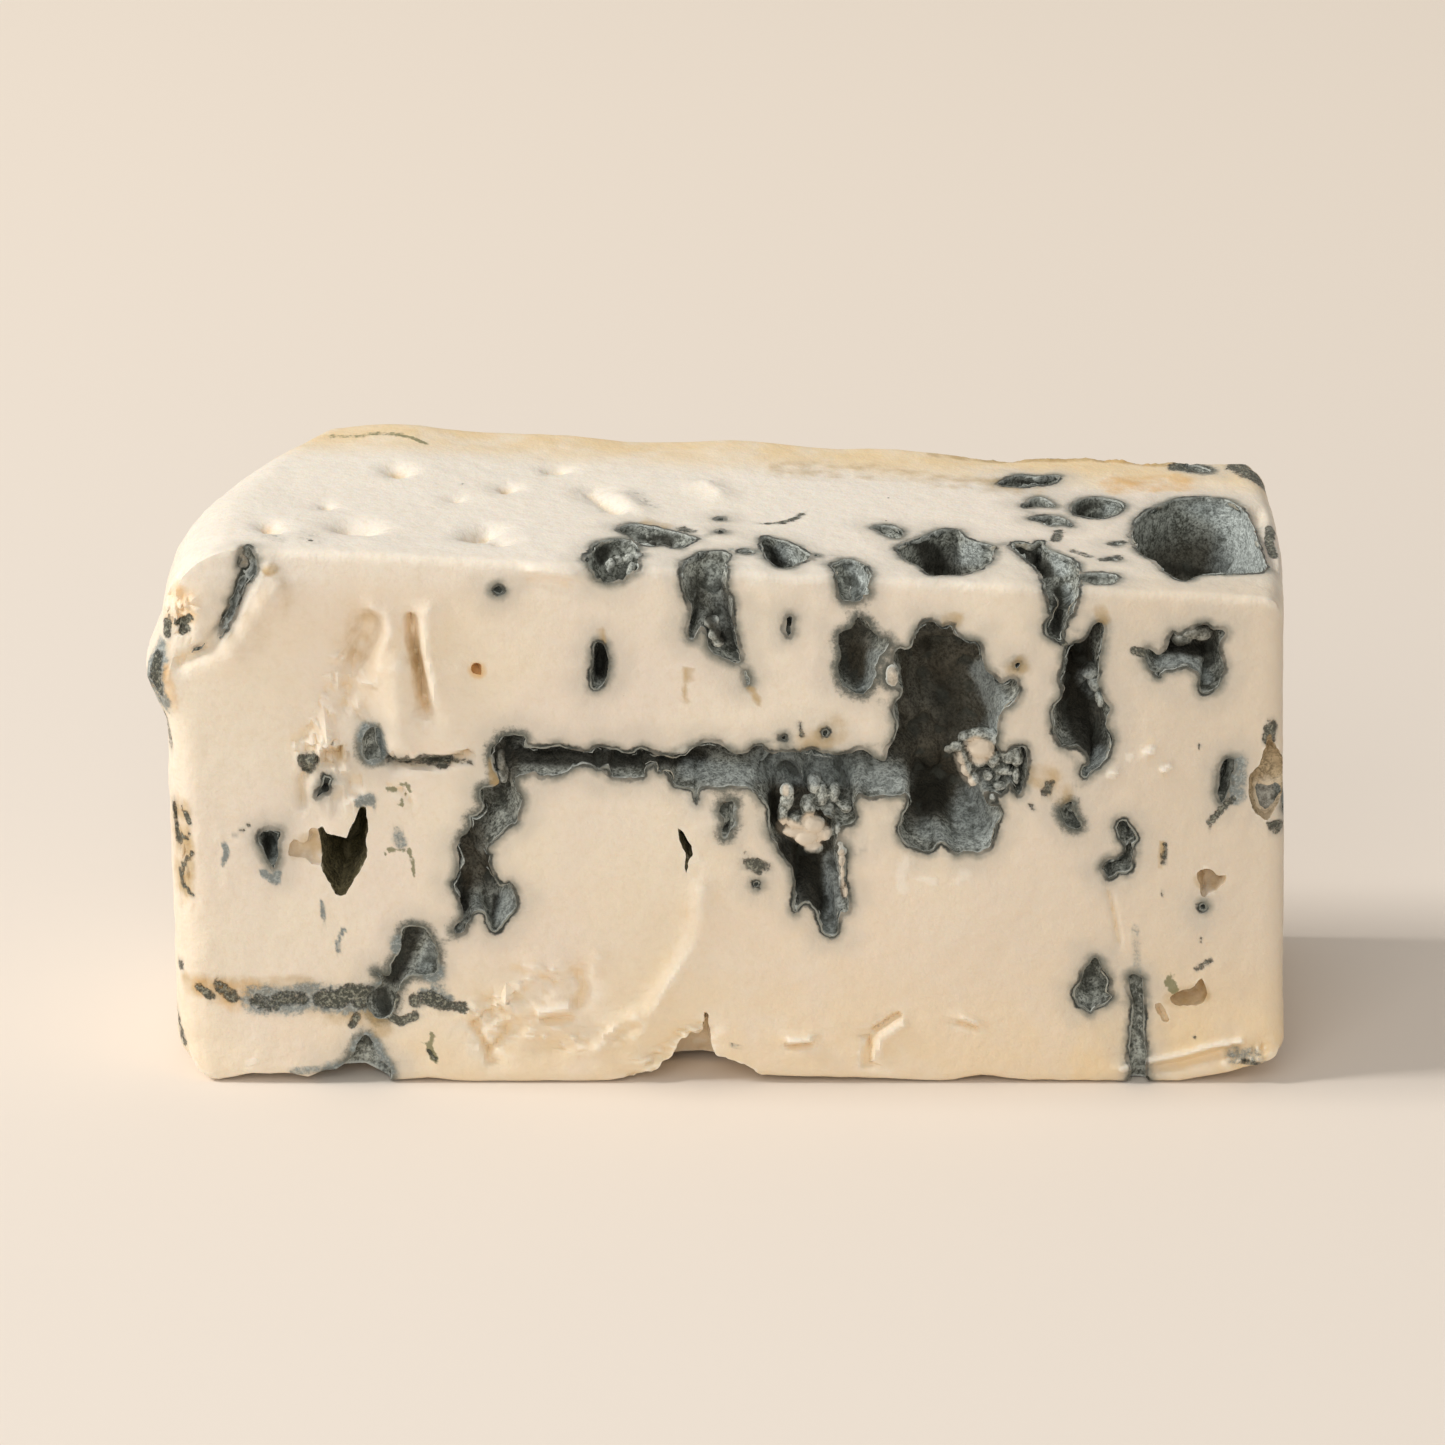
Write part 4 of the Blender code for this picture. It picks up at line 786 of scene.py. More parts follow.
def makeLump(name, balls):
    parts = []
    for x, y, z, rx, ry, rz in balls:
        bpy.ops.mesh.primitive_ico_sphere_add(
            subdivisions=lumpFinish["roundness"], radius=mm, location=(x * mm, y * mm, z * mm))
        ball = bpy.context.object
        ball.scale = (rx, ry, rz)
        parts.append(ball)
    bpy.ops.object.select_all(action="DESELECT")
    for ball in parts:
        ball.select_set(True)
    bpy.ops.object.join()
    bpy.ops.object.transform_apply(location=True, rotation=True, scale=True)
    obj = bpy.context.object
    obj.name = name
    obj.data.remesh_voxel_size = lumpFinish["voxel"] * mm
    bpy.ops.object.voxel_remesh()
    displace(obj, "lumpFolds", *lumpFinish["folds"])
    displace(obj, "lumpCrinkle", *lumpFinish["crinkle"])
    applyModifiers(obj)
    return obj


# Frills: the thin, crinkled skin of mould that stands along the rims of the hollows, bare ones aside

frill = dict(
    inside=(0.1, 0.22), below=0.3, tall=(0.27, 0.34), thick=(0.08, 0.07), lean=0.9, around=8,
    reach=0.7, gaps=-0.12, patches=0.8, grain=(0.1, 0.07), roughness=(0.7, 0.9), specular=0.2,
    dark=rgb(58, 62, 57), light=rgb(190, 195, 189), warm=rgb(190, 178, 154),
    bare=("darkPocket", "leaningVein", "footVein", "smallGap", "greyRecess", "smallHook", "greyNick",
          "tailSlit", "roundSlit", "stripedVein", "farPatch", "topNick", "rightSlit", "longSlit"))


def makeFrills(rimLines, plainPoints, material):
    search = searchOf(plainPoints)
    shape = bmesh.new()
    for name, face, line in rimLines:
        origin, across, up = faces[face]
        outward = outwardOf(face)
        covered = np.zeros(len(line), bool)
        for otherName, otherFace, other in rimLines:
            if otherFace != face or otherName == name:
                continue
            low, high = other.min(0) - 0.3, other.max(0) + 0.3
            close = ((line > low) & (line < high)).all(1)
            if close.any():
                covered[close] |= insideBy(line[close], other) > 0.1
        ahead, behind = np.roll(line, -1, axis=0), np.roll(line, 1, axis=0)
        run = ahead - behind
        run /= np.maximum(1e-6, np.hypot(*run.T))[:, None]
        inward = np.column_stack([-run[:, 1], run[:, 0]])
        if (insideBy(line + inward * 0.1, line) > 0).mean() < 0.5:
            inward = -inward
        rings = []
        for k in range(len(line)):
            rim = origin + across * line[k, 0] + up * line[k, 1]
            found = search.find(rim)[0]
            level = (found - origin).dot(outward)
            flat = (found - rim - outward * level).length
            wave = noise.noise_vector(rim * 0.9)
            crinkle = noise.noise_vector(rim * 2.6)
            patch = noise.noise(rim * 0.24) * frill["patches"]
            if covered[k] or flat > frill["reach"] or wave.z + 0.4 * crinkle.y + patch < frill["gaps"]:
                rings.append(None)
                continue
            inner = (across * inward[k, 0] + up * inward[k, 1]).normalized()
            middle = rim + outward * (level - frill["below"])
            middle += inner * (frill["inside"][0] + frill["inside"][1] * (crinkle.x + wave.x))
            tall = frill["tall"][0] + frill["tall"][1] * (wave.y + crinkle.z * 0.6 + patch * 0.5)
            thick = frill["thick"][0] + frill["thick"][1] * crinkle.y
            axis = (outward + inner * frill["lean"] * wave.x).normalized()
            side = (inner - axis * inner.dot(axis)).normalized()
            rings.append((middle, axis * max(0.12, tall), side * max(0.05, thick)))
        addFrillRuns(shape, rings)
    bmesh.ops.recalc_face_normals(shape, faces=shape.faces)
    mesh = bpy.data.meshes.new("mouldFrills")
    shape.to_mesh(mesh)
    shape.free()
    obj = addMesh("mouldFrills", mesh)
    mesh.materials.append(material)
    bpy.ops.object.shade_smooth()
    return obj


# Each run of rings becomes one closed band, drawn thin at its ends
def addFrillRuns(shape, rings):
    if all(rings):
        starts = [0]
    else:
        starts = [k for k in range(len(rings)) if rings[k] and not rings[k - 1]]
    count = frill["around"]
    for start in starts:
        run = []
        while len(run) < len(rings) and rings[(start + len(run)) % len(rings)]:
            run.append(rings[(start + len(run)) % len(rings)])
        closed = len(run) == len(rings)
        if len(run) < 4:
            continue
        loops = []
        for k, (middle, axis, side) in enumerate(run):
            ends = 1.0 if closed else min(1.0, (k + 0.5) / 3, (len(run) - k - 0.5) / 3) ** 0.5
            loops.append([shape.verts.new((middle + axis * ends * math.cos(2 * math.pi * j / count)
                                           + side * ends * math.sin(2 * math.pi * j / count)) * mm)
                          for j in range(count)])
        pairs = list(zip(loops, loops[1:])) + ([(loops[-1], loops[0])] if closed else [])
        for first, second in pairs:
            for j in range(count):
                shape.faces.new((first[j], first[(j + 1) % count], second[(j + 1) % count], second[j]))
        if not closed:
            shape.faces.new(loops[0])
            shape.faces.new(loops[-1][::-1])


def frillMaterial(grain):
    material, tree, shader, coords = newMaterial("mouldFrill")
    coarse, fine = frill["grain"]
    fuzz = useGroup(tree, grain, {"Coords": coords, "Coarse": coarse, "Fine": fine})
    tone = halfEach(tree, noiseOf(tree, coords, 2.4, 4), fuzz.outputs["Tone"])
    colour = mixColour(tree, ramped(tree, tone, 0.38, 0.62), frill["dark"], frill["light"])
    warm = ramped(tree, noiseOf(tree, coords, 6.0, 3), 0.52, 0.66, 0.0, 0.5)
    colour = mixColour(tree, warm, colour, frill["warm"])
    tree.links.new(colour, shader.inputs["Base Color"])
    tree.links.new(ramped(tree, tone, 0.4, 0.6, *frill["roughness"]), shader.inputs["Roughness"])
    shader.inputs["Specular IOR Level"].default_value = frill["specular"]
    bumpFrom(tree, shader, fuzz.outputs["Height"])
    return material


# Painted marks by kind and face, each along a line: half width, strength, and the points of the line. The
# ochre and orange marks are stains and also painted shade in the dents; the white marks are pale crumbs and
# also painted highlights on ridges and flecks
marks = {
    "dark": {"front": [
        (0.6, 1, (-44.1, 36.6), (-43, 36.7), (-43.6, 35.7)),
        (0.35, 0.8, (-35, 36.6), (-33, 36.4), (-31, 36.6)), (0.6, 1, (-31.4, 36.8), (-29, 36.5)),
        (0.3, 0.7, (-28.4, 36.6), (-26, 36.4)), (0.65, 1, (3.7, 24.9), (4.6, 24.6)),
        (0.35, 0.8, (4.2, 22.5), (4.3, 22.1)), (0.2, 0.7, (-51.6, 28.1), (-49.9, 29.3)),
        (0.4, 0.9, (-55.7, 10.7), (-54.3, 9.7)), (0.6, 0.9, (-53.4, 10.8), (-52, 9.6)),
        (0.7, 0.8, (-49.4, 9.2), (-47.8, 8.6), (-46.6, 9.6), (-44.6, 9.4)),
        (0.8, 1, (-42.4, 9.4), (-40.6, 9.2), (-39.2, 10.2), (-38.2, 9.2)),
        (1, 1, (-37.6, 9.8), (-36, 8.6), (-35.2, 9.4)),
        (0.7, 0.9, (-32.3, 9.2), (-30.8, 9.5), (-29.6, 8.9)), (0.5, 0.9, (-28.8, 8.6), (-27.2, 8.5)),
        (0.4, 1, (-35, 7.4), (-34, 6.8), (-32.4, 7.5)), (0.4, 0.9, (-38.7, 7.4), (-39.2, 6.6)),
        (0.2, 0.8, (-31, 3.6), (-30.3, 2.6)), (0.5, 0.8, (0.9, 31.4), (1.4, 30), (1, 28.6)),
        (0.5, 0.9, (35.2, 33.2), (35.5, 34)), (0.3, 0.7, (33.4, 31.6), (33.8, 31.2)),
        (0.3, 0.9, (44.8, 0.4), (46.4, 0.4)), (0.35, 0.9, (55.1, 32.4), (53.7, 30.9), (52.7, 29.6)),
        (0.4, 0.9, (44.3, 49.1), (45.4, 48.9)), (0.3, 0.9, (35.9, 50.6), (36.8, 50), (37.3, 49.5)),
        (0.3, 0.8, (51.6, 12.9), (53, 13.8)), (0.3, 0.8, (47.9, 27), (47.8, 25)), (0.22, 0.9, (51.4, 38.3)),
        (0.22, 0.9, (47.7, 21.6)), (0.22, 0.9, (52, 16.2)), (0.2, 0.8, (51.5, 5.1)), (0.2, 0.8, (1.6, 4.2)),
        (0.3, 0.7, (56.6, 2.4), (58.4, 2.2)), (0.4, 0.9, (59.2, 29.4), (60.2, 29.2)),
        (0.6, 0.9, (58.8, 39), (59, 40.4)), (0.2, 0.5, (14.6, 25.6), (16, 26.8)),
        (0.3, 0.8, (8.8, 40.8), (9.2, 39.4)), (0.35, 1, (-58, 52.2), (-56.6, 52), (-55.8, 52.7)),
        (0.4, 0.9, (-56.6, 51.1), (-56.2, 51.4)), (0.4, 1, (-58.3, 51.5), (-58.3, 50.2)),
        (0.5, 0.9, (-59.3, 48.4), (-59.7, 45.9), (-59.4, 43.2)),
        (0.25, 0.9, (-59.2, 42.2), (-58.8, 40.6), (-58.5, 39.2), (-58.3, 37.6)),
        (0.25, 0.9, (-58.2, 31.2), (-57.8, 30), (-56.7, 30.5), (-56.3, 29.3)),
        (0.25, 0.9, (-57.8, 28.6), (-57.2, 27.6), (-57.6, 27), (-56.3, 27.9)),
        (0.25, 0.9, (-56.1, 25.8), (-57.1, 24.5), (-57.5, 22.6), (-57.1, 21.9), (-56.2, 21.1)),
        (0.3, 0.8, (-58.5, 8), (-58.1, 5.8), (-57.4, 3.6)), (0.3, 0.9, (-57.6, 12.3), (-57.7, 13)),
    ], "top": [
        (0.35, 0.6, (30, 21.1), (38.2, 21.2), (46, 21)), (1, 0.9, (50.8, 19.2), (53.4, 18.8)),
        (1.2, 0.9, (57.4, 19.4), (59.2, 16.6)), (0.3, 0.9, (6.4, -5.4), (8.4, -3.6), (9.2, -1.8)),
        (0.25, 0.8, (5.2, -5.6), (7.2, -5)), (0.6, 0.8, (-3.8, -8.2), (-2.8, -9)),
        (0.5, 0.8, (42.4, -6.4), (43.6, -5.6)), (0.5, 0.8, (41.2, -11.8), (43, -10.8)),
        (0.5, 0.8, (36.4, -6.2), (36.9, -3)), (0.5, 0.7, (38.2, -9.6), (39.8, -11)),
        (0.45, 0.9, (59.9, 1.8), (59.6, -2), (59.9, -5.8)), (0.22, 0.9, (-27.6, 2.4)),
        (0.25, 0.9, (-43, -18)),
    ]},
    "blue": {"front": [
        (0.55, 0.7, (-34, 27.9), (-33.7, 27.2)), (0.6, 0.9, (-37.9, 32.1), (-37, 32.3)),
        (0.25, 0.9, (-52.7, 27.2), (-52.3, 26.2), (-52.8, 25)),
        (0.35, 0.9, (-47, 23.8), (-47.1, 22.8), (-48.5, 23.9)), (0.2, 0.9, (-42.3, 20.4), (-42.1, 18.7)),
        (0.2, 0.8, (-39.9, 17.5), (-40.7, 15.8), (-40.6, 14.7)),
        (1.3, 0.8, (-49.6, 9.4), (-46.4, 9.2), (-43.6, 9.8), (-40, 9.2), (-37, 9.6)),
        (0.7, 0.8, (-31.4, 9.8), (-29, 9.2)), (1, 0.9, (-33.8, 15.6), (-31.8, 13.4), (-30.4, 12.4)),
        (0.7, 0.8, (-35.6, 10.8), (-35.6, 8)), (1.3, 0.9, (-37.6, 3.8), (-36.4, 1.4)),
        (0.9, 0.8, (-41.6, 1.2), (-38.6, 1)), (0.4, 0.6, (-45.6, 1.3), (-43, 1.5)),
        (1.1, 0.9, (-36.8, 39.6), (-36.4, 37.6)), (0.5, 0.8, (1.5, 31.4), (1.7, 29.6)),
        (0.4, 0.4, (44.9, 17.6), (45.1, 14.4), (45.3, 12)), (0.8, 0.7, (55.6, 36.6), (55.5, 32.6)),
        (0.7, 0.5, (55.6, 3), (57.6, 3.2), (58.6, 2)),
        (1.2, 1, (-59.8, 48.6), (-60.4, 46), (-60.3, 43.9), (-59.7, 42.8)),
    ], "top": [
        (1.2, 0.3, (-43.6, -16), (-42.4, -17.8)), (0.9, 0.35, (-47.4, -16.8), (-46.4, -18)),
        (1.2, 0.35, (-9, 2), (-7.4, -1.4)), (1.4, 0.4, (2.4, -14.8), (4.4, -15.4)),
    ]},
    # ochre: yellow stains, and painted shade in dents of the relief
    "ochreAndDentShade": {"front": [
        (1.2, 0.6, (-56, 11), (-52, 10.4), (-48, 10.6), (-44, 10.2)),
        (1.2, 0.5, (-43, 8.2), (-38, 7.6), (-36, 6.6)), (1.1, 0.5, (9.6, 39), (12.4, 39.6), (12.6, 40.4)),
        (0.3, 0.8, (3.6, 44.8), (4, 44.2), (4.4, 43.2)),
        (0.22, 0.8, (-3.5, 47), (-3.5, 45.4), (-3.1, 43.1)), (0.3, 0.7, (-12.2, 51.4), (-12, 50)),
        (0.7, 0.6, (24.6, 52.4), (25.4, 52.6)), (0.8, 0.6, (31.6, 46.9), (32.4, 47.6)),
        (1.1, 0.5, (34.2, 35), (35.6, 34.6), (36.8, 33)), (0.25, 0.8, (47.6, 27.1), (47.5, 24.5)),
        (0.8, 0.6, (52.2, 23), (53.4, 22.8)), (0.9, 0.6, (49.2, 9.4), (52, 10)),
        (1.8, 0.3, (-45.8, 57), (-47.8, 53.4), (-50, 50)), (0.5, 0.9, (-47.4, 58.2), (-46.8, 58.4)),
        (0.6, 0.6, (-23.6, 36.4), (-23.4, 34.4)), (0.6, 0.6, (40.6, 53.6), (41, 52.6)),
        (1.4, 0.4, (-37.4, 52), (-38, 49)), (1.2, 0.6, (-44.8, 26.8), (-43, 26.8)),
        (0.6, 0.5, (-32.3, 50), (-31.3, 44)), (1, 0.7, (-57.6, 31), (-57.2, 26), (-57.2, 21.4)),
        (0.8, 0.6, (-41.8, 36.6), (-40.2, 37.4)),
    ], "top": [
        (1.2, 0.4, (-39.2, -12.2), (-37.6, -12.6)), (1, 0.4, (-25.8, -13.4), (-24.6, -11.4)),
        (1, 0.4, (-34.8, 6.2)), (0.8, 0.4, (-22.7, 2.3)), (2.2, 0.4, (22, 12), (33, 9.8)),
        (2.6, 0.35, (8, 12.4), (18, 13.2)), (0.8, 0.6, (-7.4, -7.2), (-5.6, -7.6)),
        (0.9, 0.8, (26, 20.6), (31, 20.9), (38.2, 20.9), (45.6, 20.7), (51.2, 20.6)),
        (0.7, 0.6, (24, 20), (34, 20.2)),
    ]},
    # orange: orange stains, and painted shade in a dent of the skin
    "orangeAndDentShade": {"front": [
        (1.2, 0.5, (-55, 11), (-51.8, 9.4), (-50.3, 10.3)),
        (1.5, 0.5, (-58.2, 53.7), (-57.2, 54.6), (-56.3, 54)), (1, 0.5, (-59, 46), (-58.4, 43)),
        (0.7, 0.9, (-25.4, 46.9)),
    ], "top": [
        (2.2, 0.6, (44.4, 12.6), (49.7, 14.2)), (1.2, 0.5, (44.1, 20.8), (46.6, 21)),
        (1, 0.3, (-47.8, -13), (-47.2, -14.4)),
    ]},
    "green": {"front": [
        (0.18, 0.9, (-35, 33.3), (-33.3, 33.9), (-32.5, 33.6), (-33.5, 32.4), (-33.7, 31.7)),
        (0.16, 0.9, (-35.6, 25.7), (-34.7, 26.7), (-32.8, 26.7), (-32.5, 25), (-32.5, 23.8)),
        (0.28, 0.9, (-30.6, 5.3), (-30.9, 3.8), (-30.3, 2.5)),
        (0.35, 0.8, (45.3, 11), (45.3, 6), (45.5, 1)), (0.45, 0.9, (48.7, 11.3), (49.1, 10.5)),
    ], "top": [
        (0.55, 0.5, (-42.2, 17.6), (-39.6, 16.8), (-37.4, 17.6), (-34.7, 17.2)),
        (0.3, 0.8, (-35, 17), (-33.6, 16.6), (-31.8, 15)),
    ]},
    # white: pale crumbs, and painted highlights on ridges and flecks of the relief
    "whiteAndHighlight": {"front": [
        (0.35, 1, (45.7, 37.7), (46.4, 38)), (0.35, 1, (47.6, 35.8), (48.2, 36.1)),
        (0.3, 1, (43.9, 37.1), (44.2, 37.3)), (0.3, 1, (41.9, 35.1), (42.3, 35.2)),
        (0.35, 0.9, (21.5, 23.2), (23.4, 23)), (0.4, 0.9, (25.4, 22.6), (26.6, 23.4)),
        (0.5, 0.9, (20.2, 25.4), (19.6, 23.4), (20, 22)), (0.4, 0.9, (8, 4.9), (9.9, 5.1)),
        (0.4, 0.8, (-18.8, 8.1), (-16, 8.6)),
        (0.3, 0.9, (43.8, 1.6), (47.1, 2.7), (50.1, 3.3), (53.3, 4.3), (56.2, 4.8)),
        (0.3, 0.9, (-50.4, 2.2), (-49.8, 2.4)),
        (0.5, 0.8, (-48.4, 57.6), (-49.8, 55), (-51.3, 52.8), (-52.9, 50.2)),
        (1.6, 0.5, (-3.2, 36.2), (-1.6, 31.6), (-1.6, 26)), (2, 0.5, (22, 59), (26, 58)),
    ]},
    "soft": {"front": [
        (3, 1, (15.2, 51), (15, 45.4)), (3.4, 1, (-32, 16), (-35.4, 8)), (3, 1, (-38, 4), (-38.4, 0)),
        (2, 1, (-36.6, 39.6), (-36.4, 37.6)), (1.8, 1, (1.2, 31.6), (1.2, 28)),
        (1.6, 1, (37.4, 31.6), (38, 29.4)), (2.2, 1, (-22.8, 39.4), (-24, 33), (-26.6, 30)),
    ], "top": [
        (3, 1, (52.4, 19)),
    ]},
    "slice": {"front": [
        (9, 0.5, (-51, 48), (-50, 38)), (6, 0.8, (-22, 9), (-12, 6)), (7, 0.6, (-24, 26), (-12, 24)),
    ], "top": [
        (9, 0.3, (-30, 0), (0, 4)),
    ]},
}

# Tones painted on the mould inside the hollows, drawn in the same way, at the spots of each opening behind
# which
# they are seen: Shade is painted shade, Lit painted light, Brown a brown tint and Cream a cream tint
tones = {
    "Shade": {"front": [
        (1.1, 1, (-21, 37.3), (-12, 36.9), (-2, 37.1)), (0.6, 1, (5.9, 32.6), (6.2, 30)),
        (0.6, 1, (8.4, 34.4), (9.6, 34.2)), (0.8, 0.9, (-24.3, 26), (-24.2, 24)),
        (0.7, 0.9, (-26.8, 23.4), (-27.2, 20)), (0.5, 0.9, (-23.6, 21), (-23.8, 18.8)),
        (1.8, 1, (7.4, 26), (9.6, 25), (10.4, 21.6), (11, 19)), (1, 0.8, (22.4, 50)),
        (2, 0.6, (24.7, 46), (25.2, 41.2)), (2.2, 1, (23.6, 35.6), (23, 32.4)),
        (1.4, 0.8, (14.9, 48.8), (15.2, 46.4)), (1.6, 1, (38.3, 48.4), (38.4, 44), (38.8, 40.6), (40, 38)),
        (0.8, 1, (-12.2, 49), (-12.2, 46.6)), (0.5, 1, (-0.8, 52.8), (0.6, 50.4)),
        (0.9, 0.6, (-2.2, 57), (-2.2, 53.6)), (0.7, 1, (-12.3, 60), (-11.8, 60.6)),
        (0.8, 1, (-7.2, 60.8), (-5.2, 61.3)), (0.7, 0.9, (7.7, 52), (7.7, 51.2)),
        (0.55, 1, (36.5, 56), (36.3, 53.4), (36, 51.4)), (0.9, 1, (48.3, 49.6), (50.4, 49.2), (52.2, 49.4)),
        (1, 1, (-32.6, 17), (-33.6, 14.4), (-34.8, 12)), (0.8, 0.9, (-36, 10), (-35.6, 8)),
        (0.8, 1, (-41.6, 34), (-41.3, 33.4)), (0.6, 1, (-48.1, 27.6), (-47.9, 26)),
    ], "top": [
        (2.4, 0.3, (46.6, -4), (47.6, 2), (50, 6.4)), (1.8, 0.7, (49.6, -12), (52, -13)),
        (1.2, 0.9, (33, -9.4), (34.6, -13), (35.4, -17)), (0.9, 0.8, (-16.4, -15.2), (-14.4, -14)),
        (1, 0.9, (31, 5.6), (33.6, 5)), (1, 0.8, (38.4, 3.2), (40, 2.4)),
        (1.6, 1, (22.6, -9.6), (23.4, -14), (23.6, -17)), (1, 1, (6.6, -12.4), (6.6, -17.6)),
        (0.7, 1, (-12.2, -19.6), (-12.4, -16)), (0.9, 1, (-7.4, -11.6), (-5, -10.8)),
        (0.7, 0.9, (33, 13.4), (35.4, 12.6)), (0.9, 0.8, (39.6, 4.6), (40.6, 6.6)),
        (0.6, 0.9, (40, -17.6), (41.8, -17.4)), (0.6, 0.9, (13.4, -18), (14.4, -16.8)),
    ]},
    "Lit": {"front": [
        (1.4, 0.5, (-23.3, 56.2)), (0.5, 0.9, (37.4, 56.4), (37.6, 54.6)),
        (1.2, 1.3, (-48.9, 58), (-50.2, 55.2), (-51.6, 52.4), (-53.4, 50.2)),
        (0.9, 0.8, (-30.7, 15.4), (-31.4, 13)), (0.8, 0.7, (-36.6, 3.8), (-36, 1.6)),
        (0.7, 0.9, (47.2, 47.9), (49.4, 48), (51, 47.6), (52.2, 46)),
        (0.5, 0.8, (-47.1, 27.6), (-47.3, 25.4)), (1.2, 0.8, (-3, 35.6), (5, 35.2), (12, 35), (19, 34.4)),
        (1.3, 0.7, (-1.8, 35.3), (3.2, 34.6)), (2, 0.8, (5.4, 36.2), (9, 36.8), (14, 35.8), (18.8, 34.4)),
        (0.9, 1, (-22.3, 21.2), (-22.9, 18.4)), (0.6, 0.5, (-25.5, 21), (-26.2, 18.6)),
        (0.9, 1, (12.4, 25.4), (12.6, 20.4), (11.9, 17.4)),
        (1.2, 0.9, (28.4, 47), (29.6, 44.2), (30.4, 42.4), (29.6, 40.4)),
        (2, 0.9, (27.8, 32.4), (27, 30), (28.8, 29)), (1.3, 0.7, (22.6, 28.8), (25.3, 28), (28, 27.6)),
        (0.9, 0.9, (16.9, 48.4), (16.7, 45.6), (15.6, 44.4)), (0.8, 0.9, (41, 37.6), (39.9, 35.4)),
        (1, 0.6, (39.4, 46.2), (40.6, 44.6)), (1.1, 0.5, (-0.5, 58.6), (0.2, 55), (0.9, 52.4)),
        (0.9, 0.8, (14.2, 59), (15.4, 57.4), (15.1, 55.4)), (1.1, 0.6, (7.1, 60.8), (8.3, 59.4)),
    ], "top": [
        (0.9, 0.7, (42.6, 4.4), (43, 7)), (1.6, 0.8, (27.6, -9), (27.2, -14)),
        (0.9, 0.8, (36.4, -11), (37.2, -17)), (3, 0.9, (54, 7.4), (57, 3), (57.6, -4), (57, -11)),
    ]},
    "Brown": {"front": [
        (1.6, 0.9, (-26, 28.4), (-26.3, 23.4)), (1.2, 0.9, (-23, 37.6), (-22.2, 35.6)),
        (1.8, 0.6, (24.2, 47.6), (26.3, 48.6)), (1.8, 0.6, (22.9, 38.8), (25, 36.6)),
        (1.5, 0.8, (15.2, 50.6), (15.4, 47.6)), (0.5, 0.9, (0.8, 57), (1.2, 53)),
        (1.1, 0.9, (49, 51.4), (52, 51.4)), (1.2, 0.9, (-49.4, 58.6), (-51.4, 54), (-53.4, 50.6)),
    ]},
    "Cream": {"front": [
        (1.6, 0.5, (58.6, 34), (59.2, 31)), (1.1, 0.9, (27.5, 38.4), (28.7, 37.9), (28, 37.2)),
        (1.1, 0.9, (7.4, 29.1), (8.8, 28.4), (10.2, 27.4), (11.2, 28.6), (10, 29.8)),
        (0.5, 0.7, (13.2, 27), (13.5, 24.4), (13.8, 21.4)), (0.5, 0.6, (7.4, 33.6), (7.4, 33)),
        (0.8, 0.6, (18.4, 47.2), (18.8, 45.4)), (0.5, 0.6, (25.8, 37.4), (26.4, 35.4), (27.4, 33.8)),
    ]},
}


# The spots of a face that points in a hollow lie behind, looking down at the viewing angle, and a share that
# fades with their depth
def seenThrough(points, face):
    slope = math.tan(math.radians(view["elevation"]))
    x, y, z = points.T
    if face == "front":
        behind = y + block["depth"] / 2
        return clamp((14.0 - behind) / 2.0), np.column_stack([x, z + behind * slope])
    below = block["height"] + block["topSlope"] * x - z
    return clamp((12.0 - below) / 2.0) * clamp((y + 20.0) / 2.0), np.column_stack([x, y - below / slope])


def writeAttribute(obj, name, values):
    attribute = obj.data.attributes.new(name, "FLOAT", "POINT")
    attribute.data.foreach_set("value", np.ascontiguousarray(values, dtype=np.float32))


# How much each point stands above its neighbours, as a slope: above zero on ridges, below zero in folds
def ridgesOf(obj, points):
    ends = edgeEnds(obj)
    first, second = ends.T
    normals = np.empty(len(points) * 3)
    obj.data.vertices.foreach_get("normal", normals)
    count = np.bincount(ends.ravel(), minlength=len(points)).astype(float)

    # the mean of an edge's value, and of the neighbours' values, at each point
    def meanOf(atFirst, atSecond):
        return (np.bincount(first, atFirst, len(points)) + np.bincount(second, atSecond, len(points))) / count

    def spread(values):
        return meanOf(values[second], values[first])

    reach = np.linalg.norm(points[first] - points[second], axis=1)
    reach = meanOf(reach, reach)
    middle = np.column_stack([spread(points[:, k]) for k in range(3)])
    ridge = ((points - middle) * normals.reshape(-1, 3)).sum(1) / np.maximum(reach, 0.05)
    return 0.5 * ridge + 0.5 * spread(ridge)


# The strongest stroke at each point. placeOn gives the points' spots on a face, and fade the share of a
# stroke's strength at a distance from it, in widths.
def paintStrokes(points, strokes, placeOn, fade):
    paint = np.zeros(len(points))
    for face, lines in strokes.items():
        weight, spots = placeOn(points, face)
        for width, strength, *line in lines:
            distance = alongLine(spots, line)[0]
            paint = np.maximum(paint, weight * strength * fade(distance / width))
    return paint


def markFade(reach):
    return smooth(1.5 - reach * 0.75)


def toneFade(reach):
    return np.exp(-1.6 * np.maximum(0.0, reach - 0.35) ** 2)


